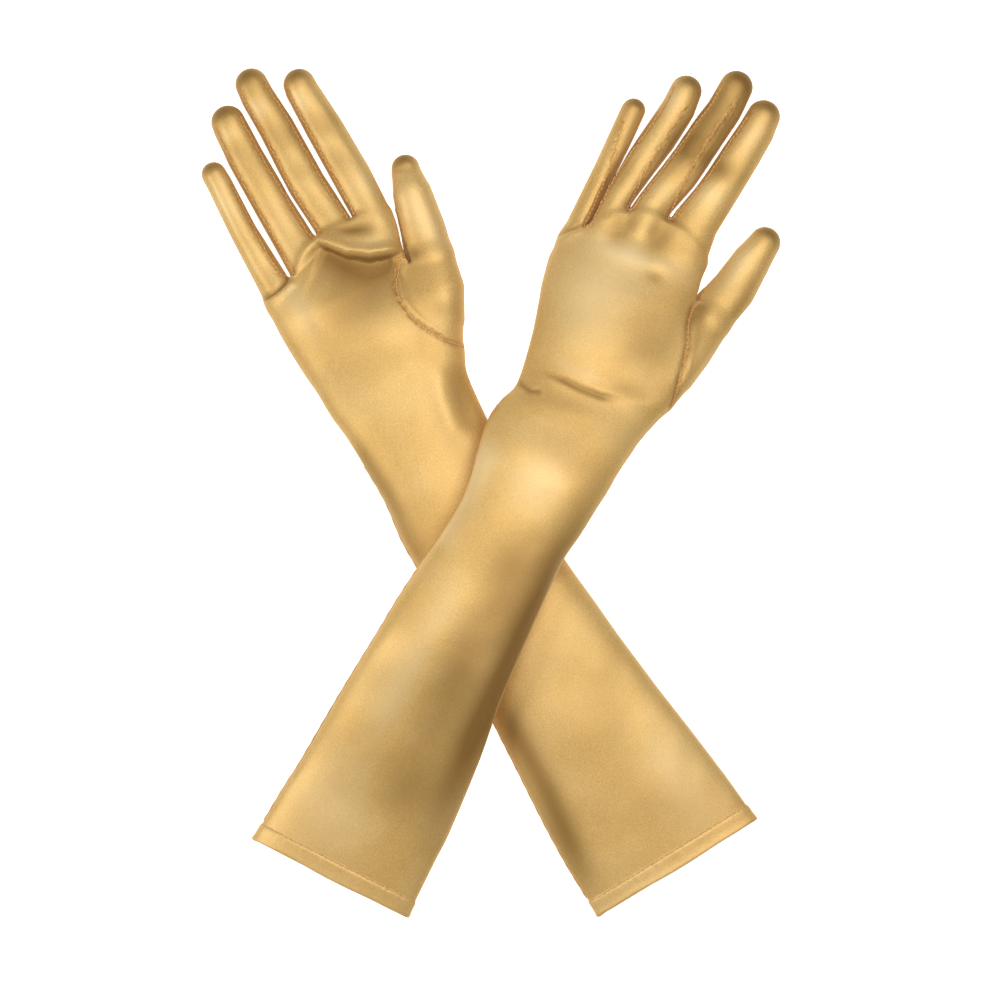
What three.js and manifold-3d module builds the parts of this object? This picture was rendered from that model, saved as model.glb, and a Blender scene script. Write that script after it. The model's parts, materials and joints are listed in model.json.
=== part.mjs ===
// A pair of elbow-length satin gloves, softly filled and laid one across the other.
// Millimetres, +Z up. The origin is on the table under the crossing and +Y runs to the fingertips.
// The right glove lies below, palm up. The left glove lies over it, back up.
import * as THREE from "three";
import { mergeVertices } from "three/addons/utils/BufferGeometryUtils.js";
import Module from "manifold-3d";

const wasm = await Module();
wasm.setup();

// Cloth, thread and clearances.
const WALL = 1.2;
const GAP = 0.3;
const THREAD = 0.7;
const REACH = 2;
const FAR = 400;
const SEAM_SLOT = THREAD + 2 * GAP;
const CRUMB_SHARE = 0.001;

// Sleeve, measured along the arm from the wrist to the cuff.
const SLEEVE_LENGTH = 283;
const WRIST_WIDTH = 74;
const WRIST_THICK = 25;
const FOREARM_WIDTH = 63;
const FOREARM_THICK = 27;
const UPPER_WIDTH = 82;
// Where those sizes hold: behind the wrist, or ahead of the cuff for the upper arm.
const WRIST_EASE = 30;
const WRIST_FLARE = 4;
const FOREARM_PLACE = 85;
const FULL_EASE = 15;
const UPPER_PLACE = 88;
const UPPER_THICK = 23;
const CUFF_WIDTH = 92;
const CUFF_THICK = 15;
const HEM_DEPTH = 9.8;
const SEAM_ALLOWANCE = 7;
const SEAM_PLY = 1.0;

// Palm, from the wrist to the roots of the fingers.
const PALM_WIDTH = 79;
// Palm width that the across places and finger widths below are stated for; they follow the palm.
const STATED_PALM_WIDTH = 79;
const ACROSS = PALM_WIDTH / STATED_PALM_WIDTH;
const PALM_THICK = 27;
const ROOT_THICK = 19;

// Fingers: length is from the hinge at the root to the tip. The four widths share out the palm's.
const FINGERS = {
  index: finger(78, 19.5, 17, 15, ["outer"]),
  middle: finger(86, 17.4, 16.3, 15, ["inner", "outer"]),
  ring: finger(79, 16.8, 15.8, 15, ["inner", "outer"]),
  little: finger(69, 13.4, 12, 13, ["inner"]),
};
const THUMB = { length: 50, rootWidth: 22.5, tipWidth: 17, thick: 17, sides: [] };
const MOUND_WIDTH = 25;
const MOUND_THICK = 23;
const MOUND_REACH = 30;
const STRIP_HEIGHT = 6;
const STRIP_TIP_MARGIN = 9;
const STRIP_ROOT_MARGIN = 2.5;
const ROOT_OVERLAP = 15;
const WEB_LENGTH = 22;

// How each glove lies. Plan positions are [across, along]; headings turn left from +Y, in degrees.
// fingers: [across, along, lean to the right] of each root hinge, in the hand's own frame.
// thumbCrotch: where the thumb's root meets the palm, with the thumb's lean.
const POSTURES = {
  right: {
    wrist: [-47.9, 91.8],
    handHeading: 28.6,
    armHeadings: [[40, 26.5], [104, 28], [150, 31.5]],
    armFloor: [[0, 0], [283, 0]],
    handFloor: [[0, 0], [100, 0]],
    webEnd: 83.5,
    fingers: {
      index: [30.2, 85.5, 0.8],
      middle: [8.8, 89.4, 1.2],
      ring: [-11.6, 85.6, 1.4],
      little: [-31.2, 74.2, 1.2],
    },
    thumbCrotch: [36.1, 53.54, 12],
    thumbHeel: [22, -3],
    palmUp: true,
  },
  left: {
    wrist: [53.5, 86.2],
    handHeading: -14.4,
    armHeadings: [[26, -35], [85, -34], [125, -28], [160, -27]],
    armFloor: [[0, 15], [25, 21.5], [55, 27.5], [104, 27.7], [150, 27.5], [200, 15], [245, 3.5], [283, 0]],
    handFloor: [[0, 15], [30, 8], [60, 2], [85, 0], [200, 0]],
    webEnd: 88.5,
    fingers: {
      index: [25.4, 91.6, 17.2],
      middle: [5.2, 95.6, 17.6],
      ring: [-14.6, 91.9, 15.4],
      little: [-32.7, 82.1, 13.4],
    },
    thumbCrotch: [39.76, 57.83, 15.6],
    thumbHeel: [22, -3],
    palmUp: false,
  },
};

// Seam of the thumb piece: on the palm it runs well in, on the back it keeps to the edge.
const PALM_SEAM = [[30.5, 53], [23.4, 44], [21.4, 35], [22.4, 26], [26, 16.5], [32, 7], [39, 0]];
const BACK_SEAM = [[35.2, 52], [35, 44], [35.5, 34], [36, 22], [37, 8], [40, 0]];
const CROTCH_MARGIN = 1.5;
const SEAM_CENTRE = [44, 30];
const SEAM_OUTSIDE = 90;

// Detail of the faceted surfaces.
const ARM_SIDES = 16;
const FINGER_SIDES = 12;
const SQUARENESS = 2.35;
const ARM_STATIONS = 9;
const FINGER_STATIONS = 3;
const TIP_STEPS = 3;
const PATH_STEP = 2;

// A finger's sizes: length, width at the root and at the tip, thickness, and the sides with a fourchette.
function finger(length, rootWidth, tipWidth, thick, sides) {
  return { length, rootWidth: rootWidth * ACROSS, tipWidth: tipWidth * ACROSS, thick, sides };
}

const COLOURS = {
  satin: { color: 0xdebb77, roughness: 0.38, metalness: 0.0 },
  strip: { color: 0xcfa55f, roughness: 0.42, metalness: 0.0 },
  thread: { color: 0xe0a552, roughness: 0.6, metalness: 0.0 },
};

const radians = THREE.MathUtils.degToRad;

// Value of a list of [place, value] pairs at a place, eased between neighbours.
function along(pairs, place) {
  if (place <= pairs[0][0]) return pairs[0][1];
  for (let i = 1; i < pairs.length; i++) {
    const [from, a] = pairs[i - 1];
    const [to, b] = pairs[i];
    if (place <= to) return a + (b - a) * THREE.MathUtils.smoothstep(place, from, to);
  }
  return pairs[pairs.length - 1][1];
}

// Unit vector in plan of a heading that turns left from +Y.
function headingVector(degrees) {
  return new THREE.Vector2(-Math.sin(radians(degrees)), Math.cos(radians(degrees)));
}

// Plan point of a hand frame's [across, along].
function handPoint(posture, [across, forward]) {
  const ahead = headingVector(posture.handHeading);
  const right = new THREE.Vector2(ahead.y, -ahead.x);
  return new THREE.Vector2(...posture.wrist).addScaledVector(right, across).addScaledVector(ahead, forward);
}

// Plan point and heading on the arm at a distance behind the wrist.
function armPlace(posture, distance) {
  const headings = [[0, posture.handHeading], ...posture.armHeadings];
  const point = new THREE.Vector2(...posture.wrist);
  const steps = Math.max(1, Math.ceil(Math.abs(distance) / PATH_STEP));
  for (let i = 0; i < steps; i++) {
    const middle = ((i + 0.5) / steps) * distance;
    point.addScaledVector(headingVector(along(headings, middle)), -distance / steps);
  }
  return { point, heading: along(headings, distance) };
}

// Corner points of one upright section, grown outward by an offset.
function sectionPoints(station, offset, sides) {
  const ahead = headingVector(station.heading);
  const halfWidth = station.width / 2 + offset;
  const halfThick = station.thick / 2 + offset;
  const middle = station.floor + station.thick / 2;
  const curved = (value) => Math.sign(value) * Math.abs(value) ** (2 / SQUARENESS);
  const bottomLevel = curved(Math.sin(Math.PI / 2 - Math.PI / sides));
  return Array.from({ length: sides }, (_, k) => {
    const angle = ((k + 0.5) / sides) * 2 * Math.PI;
    const side = halfWidth * curved(Math.cos(angle));
    const height = (halfThick * curved(Math.sin(angle))) / bottomLevel;
    return new THREE.Vector3(
      station.point.x + side * ahead.y,
      station.point.y - side * ahead.x,
      middle + height,
    );
  });
}

// Closed solid through upright sections that follow one another.
function loft(stations, offset, sides) {
  const rings = stations.map((station) => sectionPoints(station, offset, sides));
  const points = rings.flat();
  const faces = [];
  rings.slice(1).forEach((_, i) => {
    for (let k = 0; k < sides; k++) {
      const next = (k + 1) % sides;
      const [a, b] = [i * sides + k, i * sides + next];
      faces.push(a, b, b + sides, a, b + sides, a + sides);
    }
  });
  const last = (rings.length - 1) * sides;
  for (let k = 1; k < sides - 1; k++) {
    faces.push(0, k + 1, k, last, last + k, last + k + 1);
  }
  const geometry = new THREE.BufferGeometry().setFromPoints(points);
  geometry.setIndex(faces);
  return solidOf(geometry);
}

// A closed three.js geometry as a solid, turned to face out.
function solidOf(geometry) {
  const bare = new THREE.BufferGeometry();
  bare.setAttribute("position", geometry.getAttribute("position"));
  bare.setIndex(geometry.index);
  const merged = mergeVertices(bare, 1e-4);
  const triVerts = new Uint32Array(merged.index.array);
  const make = () =>
    new wasm.Manifold(
      new wasm.Mesh({ numProp: 3, vertProperties: merged.attributes.position.array, triVerts }),
    );
  const made = make();
  if (made.volume() >= 0) return made;
  for (let i = 0; i < triVerts.length; i += 3) {
    [triVerts[i + 1], triVerts[i + 2]] = [triVerts[i + 2], triVerts[i + 1]];
  }
  return make();
}

// A box along a heading: across, along and height ranges from a plan point.
function box(point, heading, [left, right], [back, front], [low, high]) {
  const geometry = new THREE.BoxGeometry(right - left, front - back, high - low);
  geometry.translate((left + right) / 2, (back + front) / 2, (low + high) / 2);
  geometry.rotateZ(radians(heading));
  geometry.translate(point.x, point.y, 0);
  return solidOf(geometry);
}

// Everything ahead of a plan point.
function ahead(point, heading, from) {
  return box(point, heading, [-FAR, FAR], [from, from + FAR], [-FAR, FAR]);
}

function union(solids) {
  return solids.reduce((whole, solid) => whole.add(solid));
}

// The piece itself, without the crumbs that a cut leaves where two thin walls meet.
function withoutCrumbs(solid) {
  const whole = solid.volume();
  return union(solid.decompose().filter((body) => body.volume() > CRUMB_SHARE * whole));
}

// Sections of the arm from just ahead of the wrist to just past the cuff.
function armStations(posture) {
  const width = [
    [0, WRIST_WIDTH],
    [WRIST_EASE, FOREARM_WIDTH + WRIST_FLARE],
    [FOREARM_PLACE, FOREARM_WIDTH],
    [SLEEVE_LENGTH - UPPER_PLACE, UPPER_WIDTH],
    [SLEEVE_LENGTH, CUFF_WIDTH],
  ];
  const thick = [
    [0, WRIST_THICK],
    [WRIST_EASE + FULL_EASE, FOREARM_THICK],
    [FOREARM_PLACE + FULL_EASE, FOREARM_THICK],
    [SLEEVE_LENGTH - UPPER_PLACE, UPPER_THICK],
    [SLEEVE_LENGTH, CUFF_THICK],
  ];
  const step = SLEEVE_LENGTH / (ARM_STATIONS - 1);
  const distances = Array.from({ length: ARM_STATIONS }, (_, i) => i * step);
  return [-REACH, ...distances, SLEEVE_LENGTH + REACH].map((distance) => ({
    ...armPlace(posture, distance),
    width: along(width, distance),
    thick: along(thick, distance),
    floor: along(posture.armFloor, distance),
  }));
}

// Form of the whole arm.
function armSolid(posture, offset) {
  return loft(armStations(posture), offset, ARM_SIDES);
}

// The stretch of the arm between two distances behind the wrist.
function armSlab(posture, from, to) {
  const behind = (distance) => {
    const { point, heading } = armPlace(posture, distance);
    return box(point, heading, [-FAR, FAR], [-FAR, 0], [-FAR, FAR]);
  };
  return behind(from).subtract(behind(to));
}

// Hand stations at [along, across, width, thick] rows of the hand's own frame.
function handStations(posture, rows) {
  return rows.map(([forward, across, width, thick]) => ({
    point: handPoint(posture, [across, forward]),
    heading: posture.handHeading,
    width,
    thick,
    floor: along(posture.handFloor, forward),
  }));
}

// Across and along place and lean of a finger's root hinge, in the hand's frame.
function fingerRoot(posture, name) {
  if (name !== "thumb") {
    const [across, forward, lean] = posture.fingers[name];
    return { across: across * ACROSS, forward, lean };
  }
  const [across, forward, lean] = posture.thumbCrotch;
  const half = THUMB.rootWidth / 2;
  return {
    across: across * ACROSS + half * Math.cos(radians(lean)),
    forward: forward - half * Math.sin(radians(lean)),
    lean,
  };
}

// Palm from the wrist to the little finger's root.
function palmSolid(posture, offset, wristReach) {
  const end = fingerRoot(posture, "little").forward - WALL - GAP;
  const [crotchAcross, crotchForward] = thumbCrotch(posture, 0);
  const rightEdge = (forward, edge, thick) => {
    const width = edge + PALM_WIDTH / 2;
    return [forward, width / 2 - PALM_WIDTH / 2, width, thick];
  };
  const rows = [
    [-wristReach, 0, WRIST_WIDTH, WRIST_THICK],
    [0, 0, WRIST_WIDTH, WRIST_THICK],
    [18, -1, PALM_WIDTH - 2, PALM_THICK],
    [36, -1, PALM_WIDTH, PALM_THICK],
    rightEdge(crotchForward - 5, crotchAcross + 2 * WALL, PALM_THICK - 2),
    rightEdge(crotchForward + GAP, crotchAcross - 2 * GAP, PALM_THICK - 3),
    [end - 6 + offset, -1, PALM_WIDTH - 4, ROOT_THICK + 1],
    [end + offset, -1, PALM_WIDTH - 5, ROOT_THICK - 2],
  ];
  return loft(handStations(posture, rows.slice(wristReach > 0 ? 0 : 1)), offset, ARM_SIDES);
}

// Web that carries the ring, middle and index roots.
function webSolid(posture, offset) {
  const left = fingerRoot(posture, "ring").across - FINGERS.ring.rootWidth / 2 - 1;
  const right = fingerRoot(posture, "index").across + FINGERS.index.rootWidth / 2 + 1;
  const width = Math.min(right, PALM_WIDTH / 2 - 2) - left;
  const middle = left + width / 2;
  const rows = [
    [posture.webEnd - WEB_LENGTH, middle, width - 2, ROOT_THICK],
    [posture.webEnd - WEB_LENGTH / 2, middle, width, ROOT_THICK],
    [posture.webEnd + offset, middle, width - 1, ROOT_THICK - 3],
  ];
  return loft(handStations(posture, rows), offset, ARM_SIDES);
}

// Root point and heading of a finger.
function fingerFrame(posture, name) {
  const { across, forward, lean } = fingerRoot(posture, name);
  return { point: handPoint(posture, [across, forward]), heading: posture.handHeading - lean };
}

// Sections of a straight finger with a rounded tip, from behind its root.
function fingerStations(posture, name, size, offset) {
  const { point, heading } = fingerFrame(posture, name);
  const direction = headingVector(heading);
  const { forward } = fingerRoot(posture, name);
  const round = size.tipWidth / 2;
  const straight = size.length - round;
  const at = (distance, width, thick) => ({
    point: point.clone().addScaledVector(direction, distance),
    heading,
    width,
    thick,
    floor: along(posture.handFloor, forward + distance) + (size.thick - thick) / 2,
  });
  const stations = [at(-ROOT_OVERLAP, size.rootWidth, size.thick), at(0, size.rootWidth, size.thick)];
  for (let i = 1; i <= FINGER_STATIONS; i++) {
    const share = i / FINGER_STATIONS;
    const width = THREE.MathUtils.lerp(size.rootWidth, size.tipWidth, share ** 1.5);
    stations.push(at(straight * share, width, THREE.MathUtils.lerp(size.thick, size.thick - 1.5, share)));
  }
  for (let i = 1; i <= TIP_STEPS; i++) {
    const angle = (i / (TIP_STEPS + 0.35)) * (Math.PI / 2);
    const shrink = Math.cos(angle);
    const thick = (size.thick - 1.5) * shrink ** 0.8;
    stations.push(at(straight + (round + offset) * Math.sin(angle), size.tipWidth * shrink, thick));
  }
  return stations;
}

function fingerSolid(posture, name, size, offset) {
  return loft(fingerStations(posture, name, size, offset), offset, FINGER_SIDES);
}

// Thumb mound: it swells from the heel of the hand to the thumb's root.
function moundSolid(posture, offset) {
  const { across, forward, lean } = fingerRoot(posture, "thumb");
  const tangent = new THREE.Vector2(Math.sin(radians(lean)), Math.cos(radians(lean)));
  const root = new THREE.Vector2(across, forward);
  const heel = new THREE.Vector2(posture.thumbHeel[0] * ACROSS, posture.thumbHeel[1]);
  const control = root.clone().addScaledVector(tangent, -MOUND_REACH);
  const curve = new THREE.QuadraticBezierCurve(heel, control, root);
  const stations = [0, 0.2, 0.45, 0.7, 1].map((t) => {
    const place = curve.getPoint(t);
    const course = curve.getTangent(t);
    const swell = Math.sin(Math.PI * Math.min(1, 0.35 + 0.65 * t));
    return {
      point: handPoint(posture, [place.x, place.y]),
      heading: posture.handHeading - THREE.MathUtils.radToDeg(Math.atan2(course.x, course.y)),
      width: THREE.MathUtils.lerp(THUMB.rootWidth, MOUND_WIDTH, swell),
      thick: THREE.MathUtils.lerp(THUMB.thick, MOUND_THICK, swell),
      floor: along(posture.handFloor, place.y),
    };
  });
  return loft(stations, offset, FINGER_SIDES);
}

// Where the thumb's root meets the palm, in the hand's frame, moved out by a margin.
function thumbCrotch(posture, margin) {
  const { across, forward, lean } = fingerRoot(posture, "thumb");
  const half = THUMB.rootWidth / 2 + margin;
  return [across - half * Math.cos(radians(lean)), forward + half * Math.sin(radians(lean)) + margin];
}

// Upright block round the thumb piece, bounded by its palm and back seams.
function gussetBlock(posture, grow) {
  const level = along(posture.handFloor, SEAM_CENTRE[1]) + PALM_THICK / 2;
  const crotch = thumbCrotch(posture, CROTCH_MARGIN);
  const prism = (seam, low, high) => {
    const shape = new THREE.Shape();
    const line = seam.map(([across, forward]) => [across * ACROSS, forward]);
    const corners = [crotch, ...line, [SEAM_OUTSIDE, 0], [SEAM_OUTSIDE, crotch[1]]];
    const centre = SEAM_CENTRE[0] * ACROSS;
    corners.forEach(([across, forward], i) => {
      const away = new THREE.Vector2(across - centre, forward - SEAM_CENTRE[1]);
      const moved = away.setLength(away.length() + grow);
      const place = handPoint(posture, [centre + moved.x, SEAM_CENTRE[1] + moved.y]);
      if (i === 0) shape.moveTo(place.x, place.y);
      else shape.lineTo(place.x, place.y);
    });
    const geometry = new THREE.ExtrudeGeometry(shape, { depth: high - low, bevelEnabled: false });
    geometry.translate(0, 0, low);
    return solidOf(geometry);
  };
  const [upper, lower] = posture.palmUp ? [PALM_SEAM, BACK_SEAM] : [BACK_SEAM, PALM_SEAM];
  return prism(upper, level - grow, FAR).add(prism(lower, -FAR, level + grow));
}

// Block round a side strip of a finger, grown by a margin.
function stripBlock(posture, name, size, side, grow) {
  const { point, heading } = fingerFrame(posture, name);
  const sign = side === "inner" ? 1 : -1;
  const across = [sign * 0.25 * size.tipWidth, sign * (size.rootWidth / 2 + REACH)].sort((a, b) => a - b);
  const front = size.length - STRIP_TIP_MARGIN;
  const middle = along(posture.handFloor, fingerRoot(posture, name).forward) + size.thick / 2;
  const half = STRIP_HEIGHT / 2 + grow;
  const run = [STRIP_ROOT_MARGIN - grow, front + grow];
  return box(point, heading, across, run, [middle - half, middle + half]);
}

// Finger cover, its side strips and the stitching round each strip.
function fingerPieces(posture, prefix, name, size) {
  const { point, heading } = fingerFrame(posture, name);
  const outside = fingerSolid(posture, name, size, 0);
  const shell = outside.subtract(fingerSolid(posture, name, size, -WALL));
  let cover = shell.intersect(ahead(point, heading, GAP / 2));
  const pieces = [];
  for (const side of size.sides) {
    const label = `${prefix}_${name}_${side}`;
    const block = (grow) => stripBlock(posture, name, size, side, grow);
    pieces.push([`${label}_fourchette`, shell.intersect(block(0)), "strip"]);
    const loop = block(GAP + THREAD).subtract(block(GAP));
    pieces.push([`${label}_stitching`, shell.intersect(loop), "thread"]);
    cover = cover.subtract(block(SEAM_SLOT));
  }
  pieces.push([`${prefix}_${name}_stall`, cover, "satin"]);
  return pieces;
}

// Every finger with its size, the thumb included.
function allFingers() {
  return Object.entries({ ...FINGERS, thumb: THUMB });
}

// Outer or inner form of the whole hand, with a stub for each finger.
function handSolid(posture, offset, wristReach, stubReach) {
  const stubs = allFingers().map(([name, size]) => {
    const { point, heading } = fingerFrame(posture, name);
    return fingerSolid(posture, name, size, offset).subtract(ahead(point, heading, stubReach));
  });
  return union([
    palmSolid(posture, offset, wristReach),
    webSolid(posture, offset),
    moundSolid(posture, offset),
    ...stubs,
  ]);
}

// Hand panel, thumb gusset and the stitching between them.
function handPieces(posture, prefix) {
  const wrist = new THREE.Vector2(...posture.wrist);
  const front = ahead(wrist, posture.handHeading, GAP / 2);
  const hollow = handSolid(posture, -WALL, REACH, REACH);
  const shell = handSolid(posture, 0, 0, -GAP / 2).subtract(hollow).intersect(front);
  const thumb = fingerFrame(posture, "thumb");
  const nearThumb = box(thumb.point, thumb.heading, [-FAR, FAR], [-FAR, -GAP / 2], [-FAR, FAR]);
  const gusset = withoutCrumbs(shell.intersect(gussetBlock(posture, 0)).intersect(nearThumb));
  const stalls = allFingers().map(([name, size]) => {
    const { point, heading } = fingerFrame(posture, name);
    return fingerSolid(posture, name, size, GAP).intersect(ahead(point, heading, -GAP / 2));
  });
  const panel = withoutCrumbs(shell.subtract(gussetBlock(posture, SEAM_SLOT)).subtract(union(stalls)));
  const ribbon = gussetBlock(posture, GAP + THREAD).subtract(gussetBlock(posture, GAP));
  const upperSide = box(wrist, posture.handHeading, [-FAR, 40], [4, 50], [seamLevel(posture), FAR]);
  return [
    [`${prefix}_hand_panel`, panel, "satin"],
    [`${prefix}_thumb_gusset`, gusset, "satin"],
    [`${prefix}_thumb_seam_stitching`, shell.intersect(ribbon).intersect(upperSide), "thread"],
  ];
}

// Height above which the thumb seam is on the upper side.
function seamLevel(posture) {
  return along(posture.handFloor, SEAM_CENTRE[1]) + PALM_THICK / 2 + REACH;
}

// Sleeve, turned-in hem, hem stitching and the seam allowance inside the little-finger edge.
function sleevePieces(posture, prefix) {
  const layer = (outer, inner) => armSolid(posture, outer).subtract(armSolid(posture, inner));
  const hemTop = SLEEVE_LENGTH - HEM_DEPTH;
  const lining = -WALL - GAP;
  const sleeve = layer(0, -WALL).intersect(armSlab(posture, GAP / 2, SLEEVE_LENGTH));
  const hem = layer(lining, lining - WALL).intersect(armSlab(posture, hemTop, SLEEVE_LENGTH));
  // The table presses the stitching flat on the underside, so the ring is open there.
  const stitching = layer(GAP + THREAD, GAP)
    .intersect(armSlab(posture, hemTop, hemTop + THREAD))
    .intersect(box(new THREE.Vector2(), 0, [-FAR, FAR], [-FAR, FAR], [GAP, FAR]));
  const seam = layer(lining, lining - SEAM_PLY)
    .intersect(armSlab(posture, GAP, hemTop - GAP))
    .intersect(edgeBand(posture));
  return [
    [`${prefix}_sleeve`, sleeve, "satin"],
    [`${prefix}_hem_band`, hem, "satin"],
    [`${prefix}_hem_stitching`, stitching, "thread"],
    [`${prefix}_side_seam`, seam, "strip"],
  ];
}

// Tube that follows the little-finger edge of the arm, as deep as the seam allowance.
function edgeBand(posture) {
  const stations = armStations(posture).map((station) => {
    const ahead = headingVector(station.heading);
    const left = new THREE.Vector2(-ahead.y, ahead.x);
    return {
      ...station,
      point: station.point.clone().addScaledVector(left, station.width / 2),
      width: SEAM_ALLOWANCE * 2,
      thick: SEAM_ALLOWANCE,
      floor: station.floor + (station.thick - SEAM_ALLOWANCE) / 2,
    };
  });
  return loft(stations, 0, FINGER_SIDES);
}

// A named mesh from a finished solid.
function meshOf(name, solid, finish) {
  const { numProp, vertProperties, triVerts } = solid.getMesh();
  const positions = new Float32Array((vertProperties.length / numProp) * 3);
  for (let i = 0; i < positions.length / 3; i++) {
    positions.set(vertProperties.subarray(i * numProp, i * numProp + 3), i * 3);
  }
  const geometry = new THREE.BufferGeometry();
  geometry.setAttribute("position", new THREE.BufferAttribute(positions, 3));
  geometry.setIndex(new THREE.BufferAttribute(triVerts, 1));
  geometry.computeVertexNormals();
  const mesh = new THREE.Mesh(geometry, new THREE.MeshStandardMaterial(COLOURS[finish]));
  mesh.name = name;
  return mesh;
}

// One glove as a group of its pieces.
function glove(prefix, posture) {
  const group = new THREE.Group();
  const pieces = [
    ...sleevePieces(posture, prefix),
    ...handPieces(posture, prefix),
    ...allFingers().flatMap(([name, size]) => fingerPieces(posture, prefix, name, size)),
  ];
  pieces.forEach(([name, solid, finish]) => group.add(meshOf(name, solid, finish)));
  return group;
}

const gloves = new THREE.Group();
for (const [side, posture] of Object.entries(POSTURES)) gloves.add(glove(side, posture));

export default gloves;
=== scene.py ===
"""A pair of elbow-length satin opera gloves, softly filled and laid one across the other.

The scene is in metres, +Z up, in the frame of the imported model. Sizes inside the classes are in
millimetres. Places along a hand are given as [across, along] from its wrist: across is positive
towards the thumb, along runs to the fingertips. Places on an arm are [across, along] on the line
of the sleeve through the middle of the table.
"""

import json
import logging
import math
from collections.abc import Sequence
from dataclasses import dataclass, field
from enum import Enum

import bpy
import numpy as np
import openvdb
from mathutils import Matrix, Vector
from mathutils.bvhtree import BVHTree

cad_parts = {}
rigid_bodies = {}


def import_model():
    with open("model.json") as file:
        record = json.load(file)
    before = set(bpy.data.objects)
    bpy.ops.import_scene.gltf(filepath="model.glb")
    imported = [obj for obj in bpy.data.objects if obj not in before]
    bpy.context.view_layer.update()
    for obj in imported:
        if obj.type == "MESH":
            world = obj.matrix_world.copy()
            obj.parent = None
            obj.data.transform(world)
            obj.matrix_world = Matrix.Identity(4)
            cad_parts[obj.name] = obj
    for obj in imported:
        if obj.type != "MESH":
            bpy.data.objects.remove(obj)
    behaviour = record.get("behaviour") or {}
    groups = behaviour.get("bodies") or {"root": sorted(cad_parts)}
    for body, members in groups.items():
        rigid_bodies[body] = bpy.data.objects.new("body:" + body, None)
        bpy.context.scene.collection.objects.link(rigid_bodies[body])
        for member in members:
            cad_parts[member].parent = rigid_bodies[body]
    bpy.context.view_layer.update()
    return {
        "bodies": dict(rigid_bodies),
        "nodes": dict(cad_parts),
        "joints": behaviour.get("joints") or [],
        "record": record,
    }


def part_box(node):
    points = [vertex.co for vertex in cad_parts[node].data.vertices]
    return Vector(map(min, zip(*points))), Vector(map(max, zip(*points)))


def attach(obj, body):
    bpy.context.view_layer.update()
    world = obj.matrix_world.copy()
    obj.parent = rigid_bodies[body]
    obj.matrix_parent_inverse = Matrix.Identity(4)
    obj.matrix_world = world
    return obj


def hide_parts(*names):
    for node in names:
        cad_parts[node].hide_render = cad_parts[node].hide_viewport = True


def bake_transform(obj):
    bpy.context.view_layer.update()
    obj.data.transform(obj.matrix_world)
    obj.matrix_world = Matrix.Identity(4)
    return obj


MM = 0.001
NEARLY_NOTHING = 1e-9

log = logging.getLogger("opera_gloves")

Pairs = tuple[tuple[float, float], ...]
Triples = tuple[tuple[float, float, float], ...]


class Side(Enum):
    """The two gloves, by the hand that wears them."""

    RIGHT = "right"
    LEFT = "left"


class Edge(Enum):
    """The two sides of a finger: towards the thumb, or towards the little finger."""

    INNER = 1
    OUTER = -1

    @property
    def word(self) -> str:
        """The word for this side in the names of the CAD nodes."""
        return self.name.lower()


class Slot(Enum):
    """The record's material slots."""

    SATIN = "gold_satin"
    STRIP = "fourchette_satin"
    THREAD = "thread"


# ---- plain measuring helpers


def eased(rows: Sequence[Sequence[float]], place: np.ndarray, column: int = 1) -> np.ndarray:
    """Value of a table of rows at a place, on a smooth curve through the rows.

    Args:
        rows: Rows whose first number is the place, in rising order.
        place: Places to read at.
        column: Which number of the row is read.

    Returns:
        The values, held constant past either end.
    """
    xs = np.array([row[0] for row in rows], float)
    ys = np.array([row[column] for row in rows], float)
    steps = np.diff(ys) / np.diff(xs)
    slopes = np.empty_like(ys)
    slopes[0], slopes[-1] = steps[0], steps[-1]
    same = steps[:-1] * steps[1:] > 0
    mean = 2 * steps[:-1] * steps[1:] / np.where(same, steps[:-1] + steps[1:], 1)
    slopes[1:-1] = np.where(same, mean, 0)
    at = np.clip(place, xs[0], xs[-1])
    i = np.clip(np.searchsorted(xs, at, side="right") - 1, 0, len(xs) - 2)
    width = xs[i + 1] - xs[i]
    t = (at - xs[i]) / width
    return (
        ys[i] * (1 + 2 * t) * (1 - t) ** 2
        + slopes[i] * width * t * (1 - t) ** 2
        + ys[i + 1] * t * t * (3 - 2 * t)
        + slopes[i + 1] * width * t * t * (t - 1)
    )


def smooth_step(value: np.ndarray, low: float, high: float) -> np.ndarray:
    """0 below low, 1 above high, and an eased rise between them."""
    t = np.clip((value - low) / (high - low), 0, 1)
    return t * t * (3 - 2 * t)


def melted(a: np.ndarray, b: np.ndarray, reach: float) -> np.ndarray:
    """The union of two distance fields, with a fillet of that reach where they meet."""
    near = np.maximum(reach - np.abs(a - b), 0) / reach
    return np.minimum(a, b) - near * near * reach / 4


def line_reading(
    points: Sequence[Sequence[float]], u: np.ndarray, v: np.ndarray
) -> tuple[np.ndarray, np.ndarray, np.ndarray]:
    """Reads where places lie beside a line of points.

    Args:
        points: The line's corner points.
        u: Across places.
        v: Along places.

    Returns:
        Distance to the line, which side it is on (positive on the left), and the share of the
        line's length where the nearest point lies, below 0 or above 1 past its ends.
    """
    best = np.full(u.shape, np.inf)
    side = np.zeros(u.shape)
    share = np.zeros(u.shape)
    corners = np.array([p[:2] for p in points], float)
    lengths = np.linalg.norm(np.diff(corners, axis=0), axis=1)
    done, total = 0.0, lengths.sum()
    for a, b, length in zip(corners[:-1], corners[1:], lengths):
        e = (b - a) / length
        du, dv = u - a[0], v - a[1]
        t = du * e[0] + dv * e[1]
        held = np.clip(t, 0, length)
        distance = np.hypot(du - held * e[0], dv - held * e[1])
        nearer = distance < best
        best = np.where(nearer, distance, best)
        side = np.where(nearer, np.sign(e[0] * dv - e[1] * du), side)
        share = np.where(nearer, (done + held) / total, share)
        done += length
    return best, side, share


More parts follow.
